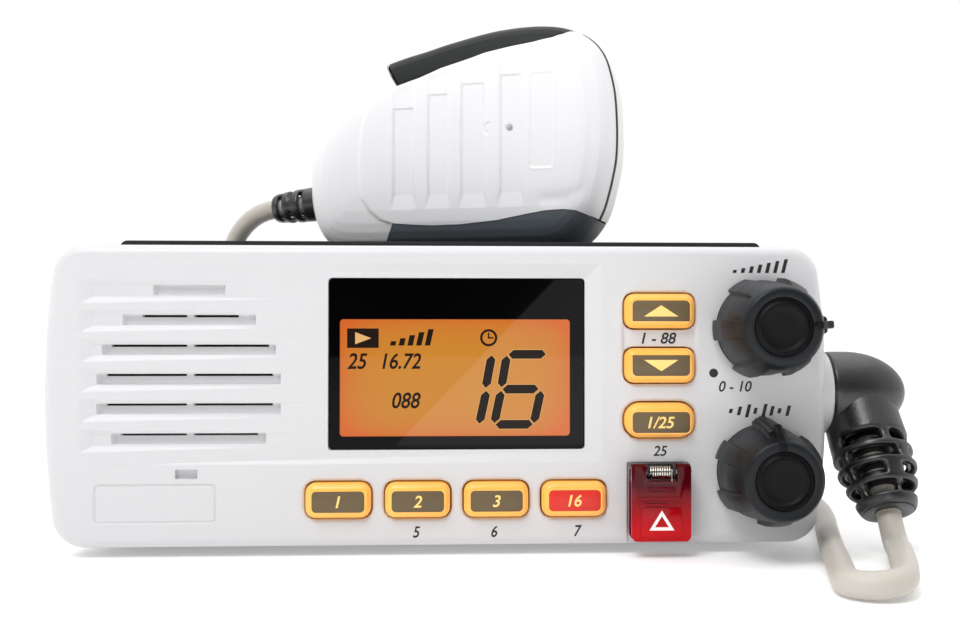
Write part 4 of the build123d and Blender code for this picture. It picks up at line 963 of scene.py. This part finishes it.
# ---------------------------------------------------------------- elbow boot
ell = [(91.95, 3.0), (91.95, 9.3), (92.2, 9.72), (92.8, 9.85)]
ell += [(x, 9.87) for x in (94.0, 95.4, 96.6)]
for k in range(1, 25):
    a = (pi / 2) * k / 24
    ell.append((96.6 + 14.8 * sin(a), 9.87 * cos(a)))
revolve("elbow_knuckle", ell, lambda s, r, a: (s, 10.0 + r * cos(a), 36.9 + r * sin(a)), M["rubber"], n=72, slot="boot_rubber", sharp=50)
# strain relief: a ribbed sleeve with open slots between its rings
A1 = np.array([1.0, 0.0, 0.0])
A1 = A1 - REL_U * (A1 @ REL_U)
A1 /= np.linalg.norm(A1)
A2 = np.cross(REL_U, A1)
if A2[1] > 0:
    A2 = -A2                       # towards the viewer


def sleeve(name, origin, axis, side, front, levels, rows, mat, body, wall, n=24, lev=2, rep=()):
    """rows: (s, radius); levels: list of (row index, [(angle from, angle to), ...]) whose faces are left out. 0 deg faces the viewer, 90 to the right."""
    V = []
    for s, r in rows:
        for k in range(n):
            a = 2 * pi * k / n
            V.append(origin + axis * s + r * (sin(a) * side + cos(a) * front))
    F = []
    skip = {}
    for ri, spans in levels:
        skip[ri] = spans
    for j in range(len(rows) - 1):
        for k in range(n):
            mid_a = degrees(2 * pi * (k + 0.5) / n)
            if j in skip and any(lo <= (mid_a - 360 * q) <= hi for lo, hi in skip[j] for q in (0, 1)):
                continue
            F.append([j * n + k, j * n + (k + 1) % n, (j + 1) * n + (k + 1) % n, (j + 1) * n + k])
    o = mesh(name, np.array(V), F, mat, body=None, sharp=None)
    recalc(o)
    s_ = o.modifiers.new("wall", "SOLIDIFY")
    s_.thickness = wall * MM
    s_.offset = -1.0
    s_.use_even_offset = True
    sb = o.modifiers.new("sub", "SUBSURF")
    sb.levels = lev
    sb.render_levels = lev
    apply_mods(o)
    o.data.shade_smooth()
    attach(o, body)
    if rep:
        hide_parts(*rep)
    return o


rows = [(-3.0, 8.6), (0.0, 8.85), (4.5, 8.95), (9.4, 9.15), (9.75, 9.15), (12.5, 9.15), (12.85, 9.3), (13.7, 9.3), (14.05, 9.25), (16.6, 9.1), (16.95, 9.3), (17.9, 9.1), (18.25, 8.85),
        (20.75, 8.35), (21.1, 8.4), (22.0, 8.0), (22.35, 7.75), (24.7, 7.15), (25.05, 7.2), (27.0, 6.5), (27.58, 5.9)]
levels = [(4, [(-64, 1), (16, 84), (150, 200)]), (8, [(-143, -78), (-63, 26), (46, 112), (150, 200)]), (12, [(-143, -74), (-63, -4), (20, 94), (150, 200)]), (16, [(-143, -66), (-54, 4), (16, 94), (150, 200)])]
V_TOP = REL_TOP + np.array([-1.6, 0.0, 0.0])
V_END = REL_END + np.array([0.3, 0.0, 0.0])
V_L = float(np.linalg.norm(V_END - V_TOP))
V_U = (V_END - V_TOP) / V_L
sleeve("strain_relief", V_TOP, V_U, A1, A2, levels, rows, M["rubber"], "radio", 2.6, n=48, lev=1, rep=("elbow_boot",))
# the cord's own jacket inside the sleeve
core = [V_TOP + V_U * s for s in np.linspace(2.0, 24.0, 10)] + [REL_TOP + REL_U * s for s in (REL_L - 1.5, REL_L + 0.05)]
kv, kf = tube([xdz(p) for p in core], 2.9 * MM, n=24)
mesh("cord_core_radio", kv, kf, M["cord"], world=True, slot="cord_ivory", sharp=60)
# dark rubber collars inside the sleeve, one behind the upper part of each slot: painted shade, dark pieces standing in
# for the shadow on the cord there
for i, s1 in enumerate((9.75, 14.05, 18.25, 22.35)):
    revolve("relief_collar_%d" % (i + 1), [(s1 - 3.6, 2.7), (s1 - 3.6, 5.2), (s1 - 1.5, 5.0), (s1 - 0.9, 3.4), (s1 - 0.8, 2.7)],
            lambda s, r, a: tuple(V_TOP + V_U * s + r * (cos(a) * A1 + sin(a) * A2)), M["rubber"], n=48, slot="boot_rubber")
endr = [(REL_L - 0.9, 5.9), (REL_L - 0.25, 5.75), (REL_L - 0.05, 5.3), (REL_L, 3.6), (REL_L - 0.3, 2.95), (REL_L - 4.0, 2.95)]
revolve("relief_mouth", endr, lambda s, r, a: tuple(REL_TOP + REL_U * s + r * (cos(a) * A1 + sin(a) * A2)), M["rubber"], n=48, slot="boot_rubber")

# ---------------------------------------------------------------- microphone
OUT = [(-44.3, -11.1), (-44.3, -7.2), (-44.1, -3.2), (-43.5, 0.8), (-42.6, 4.9), (-41.0, 8.9), (-38.2, 13.9), (-35.2, 18.0), (-31.3, 21.6), (-26.5, 24.7), (-21.0, 27.0), (-15.1, 28.8),
       (-8.4, 30.4), (-2.8, 31.9), (2.9, 33.2), (8.2, 34.3), (13.5, 35.1), (20.6, 35.6), (27.0, 35.4), (32.2, 34.5), (36.6, 32.5), (39.6, 30.0), (41.9, 26.6), (43.4, 22.1), (44.6, 16.3),
       (45.1, 9.5), (45.2, 3.0), (44.9, -2.3), (44.2, -6.3), (43.1, -11.1), (41.6, -16.1), (39.7, -19.9), (36.8, -23.6), (33.0, -26.6), (28.5, -28.0), (20.0, -28.2), (0.0, -28.2),
       (-15.0, -28.2), (-28.0, -28.2), (-34.5, -27.4), (-39.2, -24.6), (-42.0, -20.6), (-43.6, -16.0)]


def closed_spline(pts, n):
    P = np.array(pts)
    m_ = len(P)
    dense = []
    for i in range(m_):
        p0, p1, p2, p3 = P[i - 1], P[i], P[(i + 1) % m_], P[(i + 2) % m_]
        for t in np.linspace(0, 1, 24, endpoint=False):
            dense.append(0.5 * ((2 * p1) + (-p0 + p2) * t + (2 * p0 - 5 * p1 + 4 * p2 - p3) * t * t + (-p0 + 3 * p1 - 3 * p2 + p3) * t ** 3))
    dense = np.array(dense)
    seg = np.linalg.norm(np.roll(dense, -1, 0) - dense, axis=1)
    s = np.concatenate([[0], np.cumsum(seg)])
    q = np.linspace(0, s[-1], n, endpoint=False)
    dd = np.vstack([dense, dense[:1]])
    return np.stack([np.interp(q, s, dd[:, 0]), np.interp(q, s, dd[:, 1])], -1)


NP = 560
O_ = closed_spline(OUT, NP)
tan_ = np.roll(O_, -1, 0) - np.roll(O_, 1, 0)
tan_ /= np.linalg.norm(tan_, axis=1)[:, None]
nin = np.stack([tan_[:, 1], -tan_[:, 0]], -1)       # the outline runs clockwise, so this points inward
if (nin[0] @ (np.array([0, 3.0]) - O_[0])) < 0:
    nin = -nin
PTT_LOW = np.array([(-15.0, 18.6), (-8.2, 20.6), (-1.9, 23.0), (6.6, 25.3), (10.7, 26.6), (17.6, 27.9), (24.4, 28.9), (29.6, 30.1), (32.6, 31.2), (34.5, 32.6)])
GRIP_TOP = np.array([(-16.3, -19.9), (-10.4, -20.4), (-4.3, -20.7), (3.6, -20.6), (14.2, -19.7), (22.8, -18.2), (27.9, -17.4), (33.0, -17.1), (36.3, -17.4), (39.3, -18.6)])


def nearest(p):
    return int(np.argmin(np.hypot(O_[:, 0] - p[0], O_[:, 1] - p[1])))


iP0, iP1 = nearest((-21.0, 27.0)), nearest((35.6, 33.1))
iG0, iG1 = nearest((40.2, -19.0)), nearest((-21.0, -28.2))


def span(a, b):
    return [k % NP for k in range(a, b + 1 + (NP if b < a else 0))]


ptt_ids, grip_ids = span(iP0, iP1), span(iG0, iG1)
B_ = np.zeros_like(O_)
done = np.zeros(NP, bool)
pl_ = O_[ptt_ids, 0]
tl = -15.0 + (pl_ - pl_[0]) / (pl_[-1] - pl_[0]) * (34.5 + 15.0)
B_[ptt_ids] = np.stack([tl, np.interp(tl, PTT_LOW[:, 0], PTT_LOW[:, 1])], -1)
gl = O_[grip_ids, 0]
arc = np.concatenate([[0], np.cumsum(np.linalg.norm(np.diff(O_[grip_ids], axis=0), axis=1))])
tg = 39.3 - arc / arc[-1] * (39.3 + 16.3)
B_[grip_ids] = np.stack([tg, np.interp(tg, GRIP_TOP[:, 0], GRIP_TOP[:, 1])], -1)
done[ptt_ids] = True
done[grip_ids] = True
right_ids, left_ids = span(iP1 + 1, iG0 - 1), span(iG1 + 1, iP0 - 1)


def w_end(i):
    return float(np.linalg.norm(B_[i] - O_[i]))


for ids, w0, w1, wm in ((right_ids, w_end(iP1), w_end(iG0), 6.0), (left_ids, w_end(iG1), w_end(iP0), 9.0)):
    u_ = np.linspace(0, 1, len(ids) + 2)[1:-1]
    bl = np.sin(pi * u_) ** 0.7
    off0 = B_[ids[0] - 1] - O_[ids[0] - 1]
    off1 = B_[(ids[-1] + 1) % NP] - O_[(ids[-1] + 1) % NP]
    for k, (i, uu, b_l) in enumerate(zip(ids, u_, bl)):
        mid_off = nin[i] * wm
        lin_off = off0 * (1 - uu) + off1 * uu
        B_[i] = O_[i] + lin_off * (1 - b_l) + mid_off * b_l
CEN = np.array([0.0, 3.0])
FP = np.array([(0.0, 2.2), (0.12, 4.0), (0.35, 6.0), (0.8, 8.4), (1.5, 10.4), (2.5, 12.0), (4.0, 13.4), (6.0, 14.4), (8.5, 15.1), (12.0, 15.6), (17.0, 15.9), (24.0, 16.0), (60.0, 16.0)])
RP = np.array([(0.0, 0.2), (0.02, -4.0), (0.08, -8.0), (0.3, -11.0), (0.9, -13.4), (2.1, -15.5), (4.0, -17.1), (6.8, -18.1), (10.0, -18.5), (60.0, -18.6)])


def out_dist(P):
    """Distance inward from the outline."""
    res = np.empty(len(P))
    A = O_
    Bn = np.roll(O_, -1, 0)
    AB = Bn - A
    L2 = (AB ** 2).sum(1)
    for s in range(0, len(P), 3000):
        q = P[s:s + 3000]
        ap = q[:, None, :] - A[None]
        t = np.clip((ap * AB[None]).sum(-1) / L2[None], 0, 1)
        dd = np.hypot(ap[..., 0] - t * AB[None, :, 0], ap[..., 1] - t * AB[None, :, 1])
        res[s:s + 3000] = dd.min(1)
    return res


def poly_dist(P, line_):
    line_ = np.array(line_)
    best = np.full(len(P), 1e9)
    for a, b in zip(line_, line_[1:]):
        ab = b - a
        t = np.clip(((P - a) @ ab) / (ab @ ab), 0, 1)
        best = np.minimum(best, np.hypot(P[:, 0] - a[0] - t * ab[0], P[:, 1] - a[1] - t * ab[1]))
    return best


RIBS = ((-15.7, -9.9, 12.1), (-5.4, 0.3, 15.6), (4.3, 10.7, 18.1), (15.5, 21.5, 20.0))


def front_height(P, e):
    t = np.interp(e, FP[:, 0], FP[:, 1])
    l, w = P[:, 0], P[:, 1]
    fade = np.clip((e - 1.0) / 3.0, 0, 1)
    # raised pad whose left edge shows as a soft step
    edge_x = np.interp(w, [-28.0, -19.9, -18.7, -16.0, -12.8, -7.9, -2.1, 2.8, 8.5, 16.0, 24.0, 34.0], [-9.0, -17.0, -20.3, -23.2, -25.3, -26.1, -26.2, -25.9, -25.1, -22.0, -16.0, -4.0])
    t = t - 0.55 * fade * (1 - step(-(l - edge_x), 1.6))
    # channel along the right edge
    dd = poly_dist(P, [(30.0, 29.0), (34.6, 28.4), (37.4, 26.2), (39.5, 22.4), (40.7, 17.4), (41.0, 9.7), (40.8, -1.2), (40.0, -7.1), (38.2, -11.7), (33.8, -14.0), (28.0, -14.4)])
    t = t - 0.45 * fade * np.exp(-(dd / 1.7) ** 2)
    # finger channels
    for l0, l1, wt in RIBS:
        c, half = (l0 + l1) / 2, (l1 - l0) / 2
        flare = np.clip((-11.5 - w) / 4.5, 0, 1) * 0.9
        side = step(np.abs(l - c) - (half + flare), 0.7)
        low = np.clip((w + 16.3) / 4.2, 0, 1)
        cut = np.interp(l, PTT_LOW[:, 0], PTT_LOW[:, 1])
        upper = step(w - wt, 0.35) + 0.45 * (1 - step(w - wt, 0.35)) * step(w - (cut - 1.5), 2.0)
        t = t - 0.6 * side * low * upper * fade
    # bare name plate outline, sound hole and its crescent
    pd = sd_rr(l, w, 27.2, 7.2, 7.0, 26.3, 1.2)
    t = t + 0.22 * np.exp(-(pd / 0.3) ** 2) - 0.12 * step(pd, 0.3)
    t = t - 2.2 * step(np.hypot(l - 17.95, w - 5.56) - 0.8, 0.35)
    ar = np.abs(np.hypot(l - 12.6, w - 5.53) - 1.5)
    t = t - 0.45 * np.exp(-(ar / 0.28) ** 2) * (l < 12.3)
    return t


def rear_height(P, e):
    t = np.interp(e, RP[:, 0], RP[:, 1])
    l, w = P[:, 0], P[:, 1]
    for sl, sw in ((-30.0, -6.0), (32.0, 14.0), (32.0, -10.0)):
        t = t + 2.2 * step(np.hypot(l - sl, w - sw) - 2.7, 0.3)
    pd = sd_rr(l, w, 0.0, 2.0, 34.0, 22.0, 5.0)
    t = t + 0.5 * np.exp(-(pd / 0.5) ** 2)
    return t


K1, K2 = 40, (110)
f1 = 1 - np.sin(np.linspace(0, pi / 2, K1 + 1))        # 1 at B, 0 at O
f2 = np.linspace(0, 1, K2 + 1) ** 0.8                   # 0 at the centre


def mic_rows(kind, shrink=0.0, drop=0.0):
    """Rows of points from the centre to the outline; drop is not used."""
    rows_ = []
    for f in f2:
        rows_.append(CEN + (B_ - CEN) * f)
    for f in f1[1:]:
        rows_.append(O_ + (B_ - O_) * f)
    P = np.array(rows_).reshape(-1, 2)
    e = out_dist(P)
    e[-NP:] = 0.0
    t = front_height(P, e)
    return P, e, t


def to_world(P, t):
    return MIC_O[None] + P[:, :1] * ML[None] + P[:, 1:2] * MZ[None] + t[:, None] * MN[None]


def skirt(V, F, direction, amount):
    """Adds a wall along every open edge."""
    F = np.asarray(F)
    E = {}
    for f in F:
        for i in range(4):
            a, b = int(f[i]), int(f[(i + 1) % 4])
            key = (a, b) if a < b else (b, a)
            E[key] = E.get(key, 0) + (1 if a < b else -1) if key in E else (1 if a < b else -1)
    cnt = {}
    for f in F:
        for i in range(4):
            a, b = int(f[i]), int(f[(i + 1) % 4])
            key = (a, b) if a < b else (b, a)
            cnt.setdefault(key, []).append((a, b))
    V = list(V)
    new = {}
    G = []
    for key, uses in cnt.items():
        if len(uses) != 1 or key[0] == key[1]:
            continue
        a, b = uses[0]
        for q in (a, b):
            if q not in new:
                new[q] = len(V)
                V.append(np.asarray(V[q]) + direction * amount)
        G.append([b, a, new[a], new[b]])
    return np.array(V), np.concatenate([F, np.array(G)]) if G else F


Pf, ef, tf = mic_rows("front")
nr = K1 + K2 + 1
grid_f = grid(NP, nr, wrap=True)
row_of = grid_f[:, 0] // NP
col_of = grid_f[:, 0] % NP
inset_mask = np.zeros(NP, bool)
inset_mask[ptt_ids[:-1]] = True
grip_mask = np.zeros(NP, bool)
grip_mask[grip_ids[:-1]] = True
outer_zone = row_of >= K2
is_ptt = outer_zone & inset_mask[col_of]
is_grip = outer_zone & grip_mask[col_of]
Wf = to_world(Pf, tf)


def compact(V, F):
    used, inv = np.unique(F, return_inverse=True)
    return np.asarray(V)[used], inv.reshape(F.shape)


v_, f_ = compact(Wf, grid_f[~(is_ptt | is_grip)])
v_, f_ = skirt(v_, f_, MN, -1.6)
o = mesh("microphone_front", v_, f_, M["mic_white"], body="microphone", rep=("mic_front_shell",), slot="mic_white", sharp=50)
recalc(o, merge=0.0005)

# rear: outline -> inset line -> centre
K3, K4 = 10, 60
Br = O_ + nin * 0.9
rowsr = [O_ + (Br - O_) * f for f in np.linspace(0, 1, K3 + 1) ** 1.6]
rowsr += [Br + (CEN - Br) * f for f in (1 - np.cos(np.linspace(0, pi / 2, K4 + 1)))[1:]]
Pr = np.array(rowsr).reshape(-1, 2)
er = out_dist(Pr)
er[:NP] = 0.0
tr = rear_height(Pr, er)
Wr = to_world(Pr, tr)
grid_r = grid(NP, K3 + K4 + 1, wrap=True)
rr_row, rr_col = grid_r[:, 0] // NP, grid_r[:, 0] % NP
r_ptt = (rr_row < K3) & inset_mask[rr_col]
r_grip = (rr_row < K3) & grip_mask[rr_col]
v_, f_ = compact(Wr, grid_r[~(r_ptt | r_grip)])
v_, f_ = skirt(v_, f_, MN, 1.2)
o = mesh("microphone_rear", v_, f_, M["rear_white"], body="microphone", rep=("mic_rear_shell",), slot="mic_white", sharp=50)
recalc(o, merge=0.0005)


def side_piece(name, ids, node, body, inset, end_gap, mat="mic_charcoal"):
    """Bar that covers the front zone, the edge and the rear zone over a span of the outline."""
    ids = ids[end_gap:len(ids) - end_gap]
    n = len(ids)
    rows_ = []
    for f in f1[:-1]:
        q = O_[ids] + (B_[ids] - O_[ids]) * f * (1 - 0.02)
        e = np.maximum(out_dist(q), 0.0)
        rows_.append((q, np.interp(e, FP[:, 0], FP[:, 1]) - inset))
    for tt in (2.2, 1.2, 0.2):
        rows_.append((O_[ids] + nin[ids] * inset, np.full(n, tt)))
    for f in np.linspace(0, 1, K3 + 1)[1:]:
        q = O_[ids] + nin[ids] * (0.9 * f ** 1.6 + inset)
        e = out_dist(q)
        rows_.append((q, np.interp(np.maximum(e - inset, 0), RP[:, 0], RP[:, 1])))
    V = np.concatenate([to_world(q + 0 * q, t) for q, t in rows_])
    F = grid(n, len(rows_))
    # close it inwards so that it is a solid bar
    inner = []
    for (q, t), k in zip(rows_, range(len(rows_))):
        q2 = q + nin[ids] * min(2.2, 2.2)
        inner.append(to_world(q2, np.clip(t, -7.0, 12.0) - 0.8 if k < len(f1) else t))
    b0 = len(V)
    V = np.concatenate([V] + inner)
    F2 = grid(n, len(rows_)) + b0
    F2 = F2[:, ::-1]
    m_ = len(rows_)
    G = []
    for k in range(n - 1):
        G.append([k, k + 1, b0 + k + 1, b0 + k])
        j = (m_ - 1) * n
        G.append([j + k + 1, j + k, b0 + j + k, b0 + j + k + 1])
    for r_ in range(m_ - 1):
        G.append([(r_ + 1) * n, r_ * n, b0 + r_ * n, b0 + (r_ + 1) * n])
        G.append([r_ * n + n - 1, (r_ + 1) * n + n - 1, b0 + (r_ + 1) * n + n - 1, b0 + r_ * n + n - 1])
    F = np.concatenate([F, F2, np.array(G)])
    o_ = mesh(name, V, F, M[mat], body=body, rep=(node,), slot="mic_charcoal", sharp=45)
    return recalc(o_, merge=0.0005)


side_piece("ptt_bar", ptt_ids, "ptt_button", "ptt", 0.3, 2)
# the grip takes the lighter charcoal copy: painted light in its shade
side_piece("thumb_grip", grip_ids, "mic_side_grip", "microphone", 0.15, 1, "grip_charcoal_painted_light")

# dark parting seal
gl_ = []
for inset, t in ((1.6, 0.2), (-0.05, 0.2), (-0.3, 0.5), (-0.35, 1.2), (-0.3, 1.9), (-0.05, 2.2), (1.6, 2.2)):
    gl_.append(to_world(O_ + nin * inset, np.full(NP, t)))
o = mesh("microphone_seal", np.concatenate(gl_), grid(NP, len(gl_), wrap=True)[(~(inset_mask | grip_mask))[grid(NP, len(gl_), wrap=True)[:, 0] % NP]], M["seal"], body="microphone", rep=("mic_gasket",), slot="seal_black", sharp=50)
recalc(o)

# microphone strain relief
N1 = np.cross(MU, MZ)
N1 /= np.linalg.norm(N1)
if N1[1] > 0:
    N1 = -N1
N2 = np.cross(MU, N1)
if N2[2] < 0:
    N2 = -N2
mrows = [(-6.0, 5.2), (-1.0, 5.1), (1.2, 5.1), (1.6, 5.0), (2.8, 4.95), (3.2, 5.05), (4.6, 4.95), (5.0, 4.8), (6.2, 4.7), (6.6, 4.85), (8.0, 4.7), (8.4, 4.5), (9.6, 4.4), (10.0, 4.5), (11.5, 4.1), (11.95, 3.7)]
mlev = [(3, [(-60, 60), (120, 240)]), (7, [(-150, -30), (30, 150)]), (11, [(-60, 60), (120, 240)])]
sleeve("microphone_relief", MR_IN, MU, N2, N1, mlev, mrows, M["rubber"], "microphone", 1.4, n=24, lev=1, rep=("mic_strain_relief",))
mcore = [MR_IN + MU * s for s in np.linspace(-3.0, 12.0, 8)]
kv, kf = tube([xdz(p) for p in mcore], 2.85 * MM, n=20)
mesh("cord_core_microphone", kv, kf, M["cord"], body="microphone", world=True, slot="cord_ivory", sharp=60)

# ---------------------------------------------------------------- materials of the CAD nodes that stay
NODE_MAT = {
    "bezel_gasket": "seal", "chassis_housing": "chassis", "bottom_cover": "chassis", "cover_screws": "steel", "bezel_screws": "steel", "heat_sink": "sink",
    "heat_sink_screws": "steel", "antenna_socket": "brass", "antenna_insert": "insulator", "power_inlet": "socket", "speaker_jack": "socket", "front_circuit_board": "board",
    "main_circuit_board": "board", "board_connector": "socket", "screening_can": "can", "power_module": "socket", "speaker_membrane": "mesh", "speaker_frame": "can",
    "speaker_cone": "paper", "speaker_magnet": "can", "display_frame": "socket", "backlight_guide": "guide", "keypad_mat": "mat", "siren_hinge_bracket": "socket",
    "siren_hinge_pin": "steel", "volume_shaft": "steel", "squelch_shaft": "steel", "volume_potentiometer": "can", "squelch_potentiometer": "can", "mic_screws": "steel",
    "mic_hanger_stud": "steel", "mic_circuit_board": "board", "mic_capsule": "can",
}
for name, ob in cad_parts.items():
    if name in NODE_MAT:
        m_ = M[NODE_MAT[name]]
        if not ob.material_slots:
            ob.data.materials.append(m_)
        for s_ in ob.material_slots:
            s_.material = m_

# ---------------------------------------------------------------- floor and light
fm = bpy.data.meshes.new("floor")
fm.from_pydata([(-4, -3, 0), (4, -3, 0), (4, 6, 0), (-4, 6, 0)], [], [(0, 1, 2, 3)])
fm.materials.append(M["floor"])
floor = bpy.data.objects.new("floor", fm)
scene.collection.objects.link(floor)

world = bpy.data.worlds.new("studio")
scene.world = world
world.use_nodes = True
bg = world.node_tree.nodes["Background"]
wt = world.node_tree
wc = wt.nodes.new("ShaderNodeTexCoord")
wx = wt.nodes.new("ShaderNodeSeparateXYZ")
wt.links.new(wc.outputs["Generated"], wx.inputs[0])
wm = wt.nodes.new("ShaderNodeMapRange")
wm.inputs["From Min"].default_value, wm.inputs["From Max"].default_value = -1.0, 1.0
wt.links.new(wx.outputs[1], wm.inputs["Value"])
wr = wt.nodes.new("ShaderNodeValToRGB")
stops = ((0.0, 0.04), (0.05, 0.05), (0.27, 0.68), (0.5, 1.0), (0.6, 1.0))
we = wr.color_ramp.elements
while len(we) < len(stops):
    we.new(0.5)
for e_, (p_, v_) in zip(we, stops):
    e_.position, e_.color = p_, (v_, v_, v_, 1.0)
wt.links.new(wm.outputs["Result"], wr.inputs["Fac"])
wt.links.new(wr.outputs["Color"], bg.inputs["Color"])
bg.inputs["Strength"].default_value = 1.0


def area(name, loc, target, size, power, size_y=None, hide=False):
    l = bpy.data.lights.new(name, "AREA")
    l.shape = "RECTANGLE"
    l.size = size
    l.size_y = size_y or size
    l.energy = power
    ob = bpy.data.objects.new(name, l)
    ob.location = loc
    d = Vector(target) - Vector(loc)
    ob.rotation_euler = d.to_track_quat("-Z", "Y").to_euler()
    scene.collection.objects.link(ob)
    ob.visible_camera = False
    return ob


area("key", (-0.3, -0.62, 0.85), (0.0, -0.02, 0.05), 0.45, 5.8)
sun = bpy.data.lights.new("overhead", "SUN")
sun.energy = 0.9
sun.angle = radians(70)
so = bpy.data.objects.new("overhead", sun)
so.rotation_euler = (radians(-12), 0, 0)
scene.collection.objects.link(so)

# the slanting reflection on the display pane: a dim panel in front, whose edge crosses the pane
gl = bpy.data.lights.new("glare", "AREA")
gl.shape = "RECTANGLE"
gl.size, gl.size_y = 0.17, 0.10
gl.energy = 0.11
go = bpy.data.objects.new("glare", gl)
e0, e1 = np.array([42.6, 77.1]), np.array([-33.6, -2.5])
mid_e = (e0 + e1) / 2
dv = (e0 - e1) / np.linalg.norm(e0 - e1)
nv_ = np.array([dv[1], -dv[0]])
c_ = mid_e + nv_ * 50.0
Xa = Vector((dv[0], 0, dv[1]))
Ya = Vector((-nv_[0], 0, -nv_[1]))
Za = Xa.cross(Ya)
rot = Matrix((Xa, Ya, Za)).transposed().to_4x4()
if (rot @ Vector((0, 0, -1)))[1] < 0:
    Ya = -Ya
    Za = Xa.cross(Ya)
    rot = Matrix((Xa, Ya, Za)).transposed().to_4x4()
go.matrix_world = Matrix.Translation((c_[0] * MM, -0.345, c_[1] * MM)) @ rot
scene.collection.objects.link(go)
go.visible_camera = False

scene.view_settings.view_transform = "Standard"
scene.view_settings.look = "None"
scene.view_settings.exposure = 0.0
